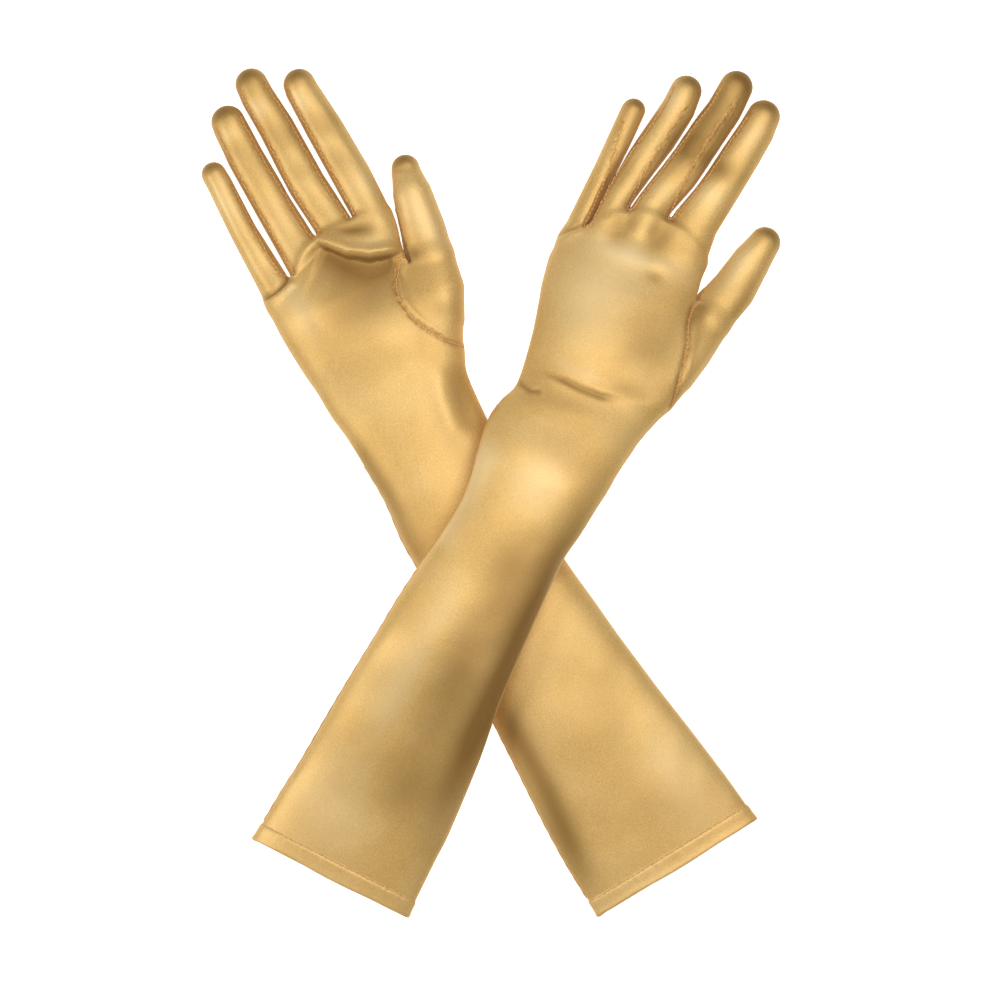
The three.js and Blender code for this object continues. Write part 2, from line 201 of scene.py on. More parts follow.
@dataclass(frozen=True)
class Place:
    """A point on the table with a heading that turns left from +Y, in degrees."""

    x: float
    y: float
    heading: float

    @property
    def ahead(self) -> np.ndarray:
        """Unit vector of the heading."""
        turn = math.radians(self.heading)
        return np.array([-math.sin(turn), math.cos(turn)])

    @property
    def right(self) -> np.ndarray:
        """Unit vector to the right of the heading."""
        return np.array([self.ahead[1], -self.ahead[0]])

    def local(self, x: np.ndarray, y: np.ndarray) -> tuple[np.ndarray, np.ndarray]:
        """Across and along places of table points."""
        dx, dy = x - self.x, y - self.y
        r, a = self.right, self.ahead
        return dx * r[0] + dy * r[1], dx * a[0] + dy * a[1]

    def table(self, u: np.ndarray, v: np.ndarray) -> tuple[np.ndarray, np.ndarray]:
        """Table points of across and along places."""
        r, a = self.right, self.ahead
        return self.x + u * r[0] + v * a[0], self.y + u * r[1] + v * a[1]


# ---- sizes of the forms


@dataclass(frozen=True)
class ArmForm:
    """The filled sleeve.

    Attributes:
        outline: Rows of along place, centre and half width, on the sleeve's own line.
        thick: Rows of distance behind the wrist and thickness.
        floor: Rows of distance behind the wrist and height of the underside.
        squareness: Exponent of the section's rounded outline.
    """

    outline: Triples
    floor: Pairs
    thick: Pairs = ((-20, 25.5), (0, 25), (45, 27), (100, 27), (195, 23), (283, 15))
    squareness: float = 2.35


@dataclass(frozen=True)
class PalmForm:
    """The palm and back of the hand, up to the roots of the fingers.

    Attributes:
        edges: Rows of along place, left edge and right edge.
        floor: Rows of along place and height of the underside.
        end: Rows of across place and the along place where the palm ends.
        thick: Rows of along place and thickness.
        squareness: Exponent of the section's rounded outline.
    """

    edges: Triples
    floor: Pairs
    end: Pairs
    thick: Pairs = ((-10, 25), (0, 25), (25, 27), (50, 26), (75, 20), (95, 16))
    squareness: float = 2.35


@dataclass(frozen=True)
class FingerForm:
    """One filled finger, or the mound of the thumb.

    Attributes:
        path: Rows of across place, along place and half width, from the root to the tip's centre.
        thick: Rows of share of the path's length and thickness.
        sides: The sides that carry a fourchette.
        top_seams: For a side whose seam shows on top, the seam's [across, along] places.
    """

    path: Triples
    thick: Pairs = ((0, 18), (0.3, 15.4), (1, 14.6))
    sides: tuple[Edge, ...] = ()
    top_seams: dict[Edge, Pairs] = field(default_factory=dict)


@dataclass(frozen=True)
class Fold:
    """A line pressed into the cloth, or raised from it where depth is negative.

    Attributes:
        points: The line's [across, along] places.
        depth: How deep the line is at its middle.
        width: How far the cloth takes to come back up.
        lip: How far the cloth stands up along the line's left side.
        fade: Share of the line's length over which it dies out at each end.
        shade: Strength of the painted shade along the line, or of a painted highlight where negative.
        lip_place: How far from the line the lip stands, in widths.
        lip_width: How broad the lip is, in widths.
    """

    points: Pairs
    depth: float
    width: float
    lip: float = 0.0
    fade: float = 0.2
    shade: float = 0.0
    lip_place: float = 2.0
    lip_width: float = 1.5

    def push(self, u: np.ndarray, v: np.ndarray) -> np.ndarray:
        """How far the cloth at these places moves outward.

        Args:
            u: Across places.
            v: Along places.

        Returns:
            The distance at each place.
        """
        distance, side, share = line_reading(self.points, u, v)
        ends = smooth_step(share, 0, self.fade) * smooth_step(1 - share, 0, self.fade)
        sunk = -self.depth * np.exp(-((distance / self.width) ** 2))
        from_lip = distance * side - self.lip_place * self.width
        beside = np.exp(-((from_lip / (self.lip_width * self.width)) ** 2))
        return ends * (sunk + self.lip * beside)

    def tint(self, u: np.ndarray, v: np.ndarray) -> np.ndarray:
        """How much painted shade these places get.

        Args:
            u: Across places.
            v: Along places.

        Returns:
            The painted shade at each place, a painted highlight where negative.
        """
        distance, _, share = line_reading(self.points, u, v)
        ends = smooth_step(share, 0, self.fade) * smooth_step(1 - share, 0, self.fade)
        return ends * self.shade * np.exp(-((distance / self.width) ** 2))


@dataclass(frozen=True)
class Shelf:
    """Cloth that stands up on the left of a line, or sinks there, with a sharp drop at the line.

    Attributes:
        points: The line's [across, along] places.
        rise: How far the cloth stands up, or sinks where negative.
        edge: Half width of the drop.
        run: How far from the line the cloth takes to come back level.
        fade: Share of the line's length over which it dies out at each end.
        shade: Strength of the painted shadow on the left of the line, or of a painted highlight where
            negative.
        gutter_place: How far before the line its gutter lies, in edge widths.
        gutter_width: Width of the gutter, in edge widths.
        gutter_depth: Depth of the gutter, as a share of the rise.
        shade_run: Share of the run that the painted shadow covers.
    """

    points: Pairs
    rise: float
    edge: float
    run: float
    fade: float = 0.25
    shade: float = 0.0
    gutter_place: float = 2.2
    gutter_width: float = 2.4
    gutter_depth: float = 0.35
    shade_run: float = 0.55

    def push(self, u: np.ndarray, v: np.ndarray) -> np.ndarray:
        """How far the cloth at these places moves outward.

        Args:
            u: Across places.
            v: Along places.

        Returns:
            The distance at each place.
        """
        distance, side, share = line_reading(self.points, u, v)
        signed = distance * side
        ends = smooth_step(share, 0, self.fade) * smooth_step(1 - share, 0, self.fade)
        raised = smooth_step(signed, -self.edge, self.edge) * np.exp(-((signed / self.run) ** 2))
        from_gutter = signed + self.gutter_place * self.edge
        gutter = np.exp(-((from_gutter / (self.gutter_width * self.edge)) ** 2))
        return ends * self.rise * (raised - self.gutter_depth * gutter)

    def tint(self, u: np.ndarray, v: np.ndarray) -> np.ndarray:
        """How much painted shadow these places get.

        Args:
            u: Across places.
            v: Along places.

        Returns:
            The painted shadow at each place, a painted highlight where negative.
        """
        distance, side, share = line_reading(self.points, u, v)
        signed = distance * side
        ends = smooth_step(share, 0, self.fade) * smooth_step(1 - share, 0, self.fade)
        beyond = smooth_step(signed, -self.edge / 2, self.edge / 2)
        return ends * self.shade * beyond * np.exp(-((signed / (self.shade_run * self.run)) ** 2))


@dataclass(frozen=True)
class Hollow:
    """A soft dip, or a swell where depth is negative, of an oval outline.

    Attributes:
        centre: The [across, along] place of its middle.
        reach: Half width and half length at which it has mostly died out.
        depth: How deep it is at its middle.
        turn: How far it is turned to the left, in degrees.
        shade: Strength of the painted shade there, or of a painted highlight where negative.
    """

    centre: tuple[float, float]
    reach: tuple[float, float]
    depth: float
    turn: float = 0.0
    shade: float = 0.0

    def share(self, u: np.ndarray, v: np.ndarray) -> np.ndarray:
        """How near places are to the middle.

        Args:
            u: Across places.
            v: Along places.

        Returns:
            1 at the middle, falling off to 0 round it.
        """
        turn = math.radians(self.turn)
        du, dv = u - self.centre[0], v - self.centre[1]
        a = (du * math.cos(turn) + dv * math.sin(turn)) / self.reach[0]
        b = (-du * math.sin(turn) + dv * math.cos(turn)) / self.reach[1]
        return np.exp(-(a * a + b * b))

    def push(self, u: np.ndarray, v: np.ndarray) -> np.ndarray:
        """How far the cloth at these places moves outward."""
        return -self.depth * self.share(u, v)

    def tint(self, u: np.ndarray, v: np.ndarray) -> np.ndarray:
        """How much painted shade these places get, a painted highlight where negative."""
        return self.shade * self.share(u, v)


@dataclass(frozen=True)
class GloveForm:
    """Everything that says how one glove is shaped and lies.

    Attributes:
        arm: The sleeve.
        palm: The palm.
        mound: The mound of the thumb.
        fingers: The fingers by name, from the thumb's side.
        crotches: The [across, along] places where neighbouring fingers part, in the same order.
        thumb_crotch: Where the thumb parts from the palm.
        top_seam: Thumb seam on the upper side, from the crotch to the heel.
        under_seam: Thumb seam on the underside.
        hand_folds: Shaping of the upper side, with its painted shade and highlights, in hand places.
        arm_folds: Shaping of the upper side, with its painted shade and highlights, in sleeve places.
        slit: Half width of the slits between the fingers.
        slit_tilt: How much the slits lean, so that one finger laps over the next.
        cuff_reach: How far the soft cuff reaches past its rim's middle.
    """

    arm: ArmForm
    palm: PalmForm
    mound: FingerForm
    fingers: dict[str, FingerForm]
    crotches: Pairs
    thumb_crotch: tuple[float, float]
    top_seam: Pairs
    under_seam: Pairs
    hand_folds: tuple[Fold | Shelf | Hollow, ...]
    arm_folds: tuple[Fold | Shelf | Hollow, ...]
    slit: float
    slit_tilt: float
    cuff_reach: float


PALM_SEAM: Pairs = (
    (33.0, 54.5), (30.6, 53), (23.2, 43.7), (21.4, 36), (22.2, 26.8), (25.7, 17.3), (31.7, 7.1),
    (38.6, -0.5),
)
BACK_SEAM: Pairs = (
    (39.6, 59.1), (36.9, 53.2), (36.8, 45.3), (39.0, 35.6), (39.6, 22.5), (39.4, 8.2), (38.6, 0),
)

RIGHT_FORM = GloveForm(
    arm=ArmForm(
        outline=(
            (-183, -0.4, 47.4), (-160, -1.3, 46.8), (-134, -2.1, 45.1), (-96, -2.6, 41.4),
            (-70, -2.7, 39.1), (-45, -1.8, 36.5), (-18, -1.4, 34.2), (0, -0.8, 33.3),
            (17, -0.1, 33.6), (30, 0.4, 33.8), (55, 2.9, 32.9), (79.5, 4.4, 34.0),
            (88.5, 5.2, 34.8), (102, 7.2, 37.4), (115, 7.4, 38.2),
        ),
        floor=((0, 0), (283, 0)),
    ),
    palm=PalmForm(
        edges=(
            (-20, -35.9, 34.5), (0, -38.2, 36.5), (10, -38.3, 37), (28, -39.9, 37), (50, -40.9, 34),
            (60, -40.5, 35.5), (72, -39.7, 38.6), (90, -39.0, 39.6),
        ),
        floor=((0, 0), (200, 0)),
        end=((-41, 68), (-23, 72.5), (-11, 81), (0, 85), (20, 84), (40, 78)),
    ),
    mound=FingerForm(
        path=((29, 6, 10.3), (34.8, 18, 12.6), (40.6, 32, 14.0), (44.6, 46, 12.6)),
        thick=((0, 20), (0.5, 24), (1, 19)),
    ),
    fingers={
        "thumb": FingerForm(
            path=((45.6, 50.0, 12.3), (48.9, 62.3, 11.6), (52.9, 80.8, 10),
                  (55.1, 91.1, 7.7), (56.0, 93.8, 7.2)),
            thick=((0, 18), (0.4, 17), (0.75, 16), (1, 12.5)),
        ),
        "index": FingerForm(
            path=((29.0, 76.0, 9.8), (29.6, 86.2, 9.8), (30.0, 103.6, 10),
                  (29.4, 131.3, 9.6), (28.6, 153.8, 8.5), (28.9, 157.3, 8.2)),
            sides=(Edge.OUTER,),
        ),
        "middle": FingerForm(
            path=((10.0, 76.0, 9.7), (9.8, 86.2, 9.8), (7.7, 110.7, 9.9),
                  (8.1, 143.4, 9.2), (7.2, 161.8, 8.6), (7.5, 169.1, 8.3)),
            sides=(Edge.INNER, Edge.OUTER),
        ),
        "ring": FingerForm(
            path=((-11.3, 72.0, 10.6), (-11.7, 86.3, 10.2), (-12.4, 107.8, 9.8),
                  (-13.1, 137.4, 9.3), (-12.6, 153.8, 8.9), (-12.3, 157.9, 8.6)),
            sides=(Edge.INNER, Edge.OUTER),
        ),
        "little": FingerForm(
            path=((-31.4, 64.0, 8.5), (-31.5, 76.3, 8.1), (-32.2, 105.1, 6.9),
                  (-31.3, 131.7, 6.5), (-31.4, 138.1, 6.3)),
            thick=((0, 17), (0.3, 13.4), (1, 12.6)),
            sides=(Edge.INNER,),
            top_seams={Edge.INNER: ((-23.4, 73.5), (-26.2, 78), (-26.8, 92), (-26.6, 108),
                                    (-26.0, 128))},
        ),
    },
    crotches=((19.9, 84.4), (0.1, 85.4), (-22.9, 72.9)),
    thumb_crotch=(34.4, 50.5),
    slit=0.75,
    slit_tilt=0.3,
    cuff_reach=3.6,
    top_seam=PALM_SEAM,
    under_seam=BACK_SEAM,
    # Hollows list centre, reach, depth, turn and shade. Each shade paints shade into the cloth's
    # colour, or a highlight where negative; the Shelf's shade is a painted shadow under the fold
    # across the palm.
    hand_folds=(
        Shelf(points=((37, 57.5), (31, 58.2), (18.4, 62.6), (8, 70), (-0.1, 80), (-2.5, 86)),
              rise=-5.0, edge=1.2, run=22, fade=0.2, shade=1.0),
        Hollow((18, 79.5), (11, 3.4), 1.2, -27, 0.85),
        Hollow((22, 69), (14, 3.0), 0, -16, -0.3),
        Hollow((13, 50), (18, 15), 1.6, 20, 0.4),
        Hollow((-6, 42), (14, 18), 0.4, 0, 0.3),
        Hollow((-24, 56), (7, 18), -0.8, 6, -0.35),
        Fold(points=((-21.5, 73), (-31, 70.6), (-41, 69.6)), depth=1.8, width=1.4, lip=0.9,
             fade=0.12, shade=0.75),
        Hollow((11, 139), (9, 8), 0.7, -40, 0.42),
        Hollow((9, 119), (6, 6), 0.4, 0, 0.3),
        Hollow((4, 158), (6, 7), -0.3, 0, -0.4),
        Hollow((-11.5, 138), (6, 12), 0.4, 10, 0.3),
        Hollow((-15, 152), (5, 5), -0.2, 0, -0.4),
        Hollow((-13, 100), (7, 12), -0.3, 0, -0.15),
        Hollow((31.5, 134), (8, 7), 0.7, -35, 0.4),
        Hollow((28.5, 116), (6, 7), 0.5, 0, 0.3),
        Hollow((24.5, 152), (4, 9), -0.3, 0, -0.45),
        Hollow((26, 125), (4, 6), -0.2, 0, -0.25),
        Hollow((33, 97), (8, 9), -0.3, 0, -0.2),
        Hollow((-34, 122), (5, 14), -0.2, 0, -0.35),
        Hollow((38.4, 19.9), (9, 7), 0.5, -30, 0.3),
        Hollow((52, 66), (8, 20), 0, 10, -0.35),
        Fold(points=PALM_SEAM, depth=0.5, width=1.1, lip=0.35, fade=0.06, shade=0.55),
        Hollow((39, 54), (4, 5), 0.7, 0, 0.6),
        Fold(points=((36, -2), (27, -18), (22, -48)), depth=1.3, width=6, fade=0.3, shade=0.4),
        Fold(points=((24, 2), (16, -18), (12, -44)), depth=-1.0, width=5, fade=0.3, shade=-0.3),
    ),
    # Their shade paints a dark band of shade down one edge of the sleeve, patches of shade, and
    # highlights where negative.
    arm_folds=(
        Hollow((20, 74), (8, 26), 0.6, -16, 0.35),
        Fold(points=((-28, 95), (-27, 50), (-28, 10)), depth=0.2, width=7, fade=0.2, shade=0.5),
        Fold(points=((-33, -40), (-37, -115), (-46, -183)), depth=0.2, width=7, fade=0.3, shade=0.8),
        Hollow((14, -100), (14, 30), 0.4, -12, 0.2),
        Hollow((24, -140), (14, 40), -0.2, 0, -0.25),
    ),
)

LEFT_FORM = GloveForm(
    arm=ArmForm(
        outline=(
            (-183, 0.1, 44.4), (-150, 0.9, 43.0), (-134, 1.7, 42.2), (-93, 1.3, 39.4),
            (-60, 0.4, 35.9), (-39.6, 0.4, 34.5), (-18, 0.9, 32.6), (0, 1.6, 31.0), (18.6, 2.3, 30.0),
            (32, 2.7, 31.3), (48, 1.7, 33.7), (63.7, 1.3, 35.4), (74, 2.1, 35.4), (84.5, 4.2, 34.6),
            (99.6, 5.0, 36.6), (112, 3.5, 37.8),
        ),
        floor=((0, 15), (25, 21.5), (55, 27.5), (104, 27.7), (150, 27.5), (200, 15), (245, 3.5),
               (283, 0)),
    ),
    palm=PalmForm(
        edges=(
            (-20, -37.5, 37.5), (0, -39.3, 37.7), (20, -39, 38.2), (36, -39.8, 36.8),
            (49, -40.7, 37), (60, -40.6, 37.3), (77, -35.7, 38.4), (95, -31.8, 40),
        ),
        floor=((0, 15), (30, 8), (60, 2), (85, 0), (200, 0)),
        end=((-41, 76), (-27.5, 80.4), (-16, 89), (-7.7, 94), (3, 95.5), (13, 95), (25, 90),
             (40, 78)),
        thick=((-10, 25), (0, 25), (25, 27), (50, 25.5), (75, 20.5), (95, 17)),
    ),
    mound=FingerForm(
        path=((31, 8, 9.6), (35.2, 20, 12.0), (40.2, 33, 12.3), (46, 50, 11.9)),
        thick=((0, 19), (0.5, 21), (1, 17.5)),
    ),
    fingers={
        "thumb": FingerForm(
            path=((46.8, 53.0, 11.9), (54.7, 68.3, 11.5), (60.1, 84.7, 9.9),
                  (64.1, 94.9, 8.2), (64.4, 95.9, 8.1)),
            thick=((0, 17), (0.4, 16.5), (1, 15)),
        ),
        "index": FingerForm(
            path=((25.4, 80.0, 12.6), (27.4, 96.2, 12.0), (35.8, 118.4, 10.5),
                  (41.7, 136.6, 10.1), (45.9, 149.7, 9.4), (47.8, 158.1, 8.5)),
            sides=(Edge.OUTER,),
        ),
        "middle": FingerForm(
            path=((0.5, 88.0, 9.2), (4.6, 100.1, 9.5), (13.3, 118.2, 10.4),
                  (22.7, 143.3, 9.6), (27.4, 155.4, 9.1), (30.6, 169.1, 8.5)),
            sides=(Edge.INNER, Edge.OUTER),
            top_seams={Edge.INNER: ((13.3, 96.1), (15.4, 108), (18.2, 122), (25.4, 145),
                                    (32.6, 162))},
        ),
        "ring": FingerForm(
            path=((-18.0, 80.0, 7.6), (-13.5, 100.3, 8), (-7.1, 118.5, 8.9),
                  (-0.9, 133.7, 9.3), (4.6, 150.9, 8.7), (6.2, 160.8, 8.1)),
            sides=(Edge.INNER, Edge.OUTER),
            top_seams={Edge.INNER: ((-7.9, 95.4), (-3.8, 115.4), (2.9, 136.6), (8.0, 152))},
        ),
        "little": FingerForm(
            path=((-31.5, 72.0, 7.2), (-29.3, 80.1, 6.9), (-23.3, 112.4, 6.2),
                  (-17.6, 143.8, 6.2), (-17.3, 144.8, 6.1)),
            thick=((0, 16), (0.3, 13.2), (1, 12.6)),
            sides=(Edge.INNER,),
            top_seams={Edge.INNER: ((-27.1, 81), (-24.6, 94), (-22.1, 109.1), (-20.9, 137))},
        ),
    },
    crotches=((13.0, 97.1), (-7.7, 95.4), (-27.5, 80.4)),
    thumb_crotch=(37.5, 58.6),
    slit=0.85,
    slit_tilt=-0.35,
    cuff_reach=0.2,
    top_seam=BACK_SEAM,
    under_seam=PALM_SEAM,
    # Hollows list centre, reach, depth, turn and shade. Each shade paints shade into the cloth's
    # colour, or a highlight where negative.
    hand_folds=(
        Fold(points=((-33, 4.6), (-19.7, 2.6), (-8.5, 0.0), (2.2, -1.2), (18, 0.4)),
             depth=0.7, width=1.7, lip=0.25, fade=0.35, shade=0.75),
        Fold(points=((-30, 11), (-14, 8), (0, 6), (16, 6)), depth=-0.15, width=3, fade=0.3,
             shade=-0.25),
        Fold(points=((-41, -4.5), (-33, -7.5), (-26, -6)), depth=0.6, width=1.6, lip=0.2,
             shade=0.6),
        Hollow((-6.5, 87), (5.5, 9), 1.2, -20, 0.6),
        Hollow((11.5, 86), (5.5, 10), 1.4, -14, 0.7),
        Hollow((2, 72), (24, 6.0), -0.6, -4, -0.5),
        Hollow((14.5, 66), (5, 4), 0.6, 0, 0.45),
        Hollow((-12, 52), (22, 24), -0.5, 0, -0.45),
        Hollow((18, 28), (14, 15), 0.5, 0, 0.45),
        Hollow((16, 6), (15, 5), 0.4, 0, 0.35),
        Fold(points=((-28.5, 81), (-34, 77), (-40.5, 72)), depth=1.0, width=1.3, lip=0.4,
             fade=0.15, shade=0.5),
        Fold(points=BACK_SEAM, depth=0.8, width=1.6, lip=0.2, fade=0.06, shade=0.6),
        Hollow((41, 53), (3.5, 7), 0.6, -20, 0.75),
        Hollow((43, 34), (2.5, 12), 0.3, 0, 0.4),
        Hollow((60, 62), (4, 18), 0, -12, 0.3),
        Hollow((54, 84), (5, 14), 0, -16, -0.35),
        Hollow((34, 127), (10, 5.5), 0.8, -12, 0.6),
        Hollow((29, 113), (9, 8), -0.3, 0, -0.35),
        Hollow((44, 147), (6, 12), -0.2, -18, -0.3),
        Hollow((24, 148), (11, 24), 0.2, -22, 0.8),
        Hollow((15, 132), (8, 9), 0.5, -22, 0.6),
        Hollow((6, 110), (6, 8), -0.2, 0, -0.25),
        Hollow((0, 154), (5, 9), -0.2, -15, -0.4),
        Hollow((4, 134), (4, 12), 0.2, -22, 0.3),
        Hollow((-14, 112), (5, 9), 0.3, -18, 0.25),
    ),
    # The first two paint the dark band of shade down the sleeve's right side; the rest paint patches
    # of shade, and highlights where negative.
    arm_folds=(
        Fold(points=((27, 80), (30, 42), (33, 0), (33, -40), (33, -85), (37, -172)), depth=0.7,
             width=9, fade=0.4, shade=1.0),
        Fold(points=((17, 60), (16, 10), (12, -70), (16, -150)), depth=0.2, width=13, fade=0.4,
             shade=0.5),
        Hollow((6, 4), (13, 18), 0.2, -10, 0.4),
        Hollow((3, -46), (12, 20), 0.2, 10, 0.25),
        Hollow((14, -124), (14, 16), 0.2, 0, 0.3),
        Fold(points=((-28, 62), (-27, 30), (-30, -10)), depth=-0.3, width=7, shade=-0.45),
        Hollow((4, 46), (14, 22), -0.4, 6, -0.3),
        Fold(points=((-6, 0), (-12, -60), (-14, -120)), depth=-0.3, width=9, fade=0.3,
             shade=-0.3),
        Hollow((-14, -150), (20, 26), 0, 0, -0.3),
    ),
)

# ---- meshes of cloth

# Share of the way to its neighbours' middle that a point moves when smoothed, and back out again.
SMOOTHING = (0.5, -0.52)
# Rings of one stitch: place along it in stitch lengths, then width and lift in thread radii.
STITCH_RINGS: Triples = (
    (-0.5, 0.55, -0.25), (-0.3, 1.0, 0.1), (0.0, 1.1, 0.22), (0.3, 1.0, 0.1), (0.5, 0.55, -0.25),
)


@dataclass
class ClothMesh:
    """A surface of four-sided faces, in millimetres.

    Attributes:
        points: Its points.
        faces: Its faces, as four point numbers each.
        normals: The outward direction at each point.
        marks: Named values of each point that the finishes read.
    """

    points: np.ndarray
    faces: np.ndarray
    normals: np.ndarray = field(default_factory=lambda: np.zeros((0, 3)))
    marks: dict[str, np.ndarray] = field(default_factory=dict)

    def turn_outward(self) -> None:
        """Turns every face round if the surface is inside out."""
        a, b, c, d = (self.points[self.faces[:, i]] for i in range(4))
        if np.einsum("ij,ij->", a, np.cross(b, c) + np.cross(c, d)) < 0:
            self.faces = self.faces[:, ::-1].copy()

    def relax(self, rounds: int) -> None:
        """Evens the surface out without shrinking it.

        Args:
            rounds: How many times it is smoothed and let out again.
        """
        edges = np.concatenate([self.faces[:, [i, (i + 1) % 4]] for i in range(4)])
        counts = np.maximum(np.bincount(edges.ravel(), minlength=len(self.points)), 1)[:, None]
        for _ in range(rounds):
            for amount in SMOOTHING:
                total = np.zeros_like(self.points)
                for i, j in ((0, 1), (1, 0)):
                    for axis in range(3):
                        total[:, axis] += np.bincount(
                            edges[:, i], self.points[edges[:, j], axis], len(self.points)
                        )
                self.points += amount * (total / counts - self.points)

    def find_normals(self) -> None:
        """Sets the outward direction at each point from the faces round it."""
        p = self.points[self.faces]
        across = np.cross(p[:, 2] - p[:, 0], p[:, 3] - p[:, 1])
        total = np.zeros_like(self.points)
        for corner in range(4):
            for axis in range(3):
                total[:, axis] += np.bincount(
                    self.faces[:, corner], across[:, axis], len(self.points)
                )
        self.normals = total / np.maximum(np.linalg.norm(total, axis=1, keepdims=True), NEARLY_NOTHING)

    def part(self, chosen: np.ndarray, wall: float) -> "ClothMesh":
        """The chosen faces as a piece of cloth with a real thickness.

        Args:
            chosen: Which faces it takes.
            wall: Thickness of the cloth, laid inward.

        Returns:
            The piece: outer face, inner face and the rim between them. Its "lining" mark is 1 on
            the inner face.
        """
        faces = self.faces[chosen]
        used, flat = np.unique(faces, return_inverse=True)
        outer = flat.reshape(-1, 4)
        count = len(used)
        edges = np.concatenate([outer[:, [i, (i + 1) % 4]] for i in range(4)])
        keys = edges[:, 0] * count + edges[:, 1]
        rim = edges[~np.isin(keys, edges[:, 1] * count + edges[:, 0])]
        rims = np.stack([rim[:, 1], rim[:, 0], rim[:, 0] + count, rim[:, 1] + count], axis=1)
        points, normals = self.points[used], self.normals[used]
        marks = {k: np.concatenate([m[used], m[used]]) for k, m in self.marks.items()}
        marks["lining"] = np.repeat([0.0, 1.0], count)
        return ClothMesh(
            np.concatenate([points, points - wall * normals]),
            np.concatenate([outer, outer[:, ::-1] + count, rims]),
            np.concatenate([normals, -normals]),
            marks,
        )

    def area(self) -> float:
        """The surface's area in square millimetres."""
        p = self.points[self.faces]
        across = np.cross(p[:, 2] - p[:, 0], p[:, 3] - p[:, 1])
        return float(np.linalg.norm(across, axis=1).sum() / 2)

    def as_object(self, name: str, materials: Sequence[bpy.types.Material]) -> bpy.types.Object:
        """A Blender object of this surface, in metres.

        Args:
            name: The piece's name.
            materials: Its finish, and a second one for the lining if there is one.

        Returns:
            The object, in the scene.
        """
        mesh = bpy.data.meshes.new(name)
        mesh.vertices.add(len(self.points))
        mesh.vertices.foreach_set("co", (self.points * MM).astype(np.float32).ravel())
        mesh.loops.add(self.faces.size)
        mesh.loops.foreach_set("vertex_index", self.faces.astype(np.int32).ravel())
        mesh.polygons.add(len(self.faces))
        starts = np.arange(0, self.faces.size, 4, dtype=np.int32)
        mesh.polygons.foreach_set("loop_start", starts)
        mesh.polygons.foreach_set("use_smooth", np.ones(len(self.faces), bool))
        mesh.update(calc_edges=True)
        for key, values in self.marks.items():
            mark = mesh.attributes.new(key, "FLOAT", "POINT")
            mark.data.foreach_set("value", values.astype(np.float32))
        for material in materials:
            mesh.materials.append(material)
        if "lining" in self.marks and len(materials) > 1:
            inside = (self.marks["lining"][self.faces].min(axis=1) > 0).astype(np.int32)
            mesh.polygons.foreach_set("material_index", inside)
        if len(self.normals):
            mesh.normals_split_custom_set_from_vertices(self.normals.tolist())
        thing = bpy.data.objects.new(name, mesh)
        bpy.context.scene.collection.objects.link(thing)
        return thing


@dataclass(frozen=True)
class StitchRow:
    """A row of thread stitches along a seam.

    Attributes:
        pitch: Distance from one stitch to the next.
        length: Length of one stitch.
        radius: Radius of the thread.
        sides: Sides of the thread's section.
        stray: How far a stitch wanders off the line.
        shortest: A stitch shorter than this is left out.
    """

    pitch: float = 2.3
    length: float = 1.9
    radius: float = 0.3
    sides: int = 6
    stray: float = 0.12
    shortest: float = 0.2

    def build(self, path: np.ndarray, normals: np.ndarray, seed: int) -> ClothMesh:
        """The stitches as one mesh.

        Args:
            path: Points on the cloth, close together, in order.
            normals: The cloth's outward direction at each of them.
            seed: Seed of the small differences between stitches.

        Returns:
            The mesh of all stitches.
        """
        chance = np.random.default_rng(seed)
        steps = np.linalg.norm(np.diff(path, axis=0), axis=1)
        places = np.concatenate([[0], np.cumsum(steps)])
        points, normal_list, faces = [], [], []
        rings = len(STITCH_RINGS)
        angles = np.arange(self.sides) / self.sides * 2 * math.pi
        total = 0
        for start in np.arange(self.pitch / 2, places[-1] - self.pitch / 2, self.pitch):
            at = np.array([np.interp(start + k * self.length, places, path[:, i])
                           for k in (-0.5, 0.5) for i in range(3)]).reshape(2, 3)
            up = np.array([np.interp(start, places, normals[:, i]) for i in range(3)])
            up /= np.linalg.norm(up)
            run = at[1] - at[0]
            if np.linalg.norm(run) < self.shortest:
                continue
            run /= np.linalg.norm(run)
            out = np.cross(run, up)
            out /= np.linalg.norm(out)
            up = np.cross(out, run)
            middle = at.mean(axis=0) + out * chance.normal(0, self.stray)
            for share, width, lift in STITCH_RINGS:
                centre = middle + run * share * self.length + up * lift * self.radius
                spokes = np.outer(np.cos(angles), out) + np.outer(np.sin(angles), up)
                points.append(centre + spokes * self.radius * width)
                normal_list.append(spokes + run * share)
            for r in range(rings - 1):
                a = total + r * self.sides + np.arange(self.sides)
                b = total + r * self.sides + (np.arange(self.sides) + 1) % self.sides
                faces.append(np.stack([a, b, b + self.sides, a + self.sides], axis=1))
            for r, order in ((0, (0, 3, 2, 1)), (rings - 1, (0, 1, 2, 3))):
                base = total + r * self.sides
                for first in range(0, self.sides - 2, 2):
                    ring = [base, base + first + 1, base + first + 2, base + (first + 3) % self.sides]
                    faces.append(np.array([[ring[i] for i in order]]))
            total += rings * self.sides
        normals_all = np.concatenate(normal_list)
        normals_all /= np.linalg.norm(normals_all, axis=1, keepdims=True)
        whole = ClothMesh(np.concatenate(points), np.concatenate(faces), normals_all)
        whole.turn_outward()
        return whole


# ---- the filled form of a glove


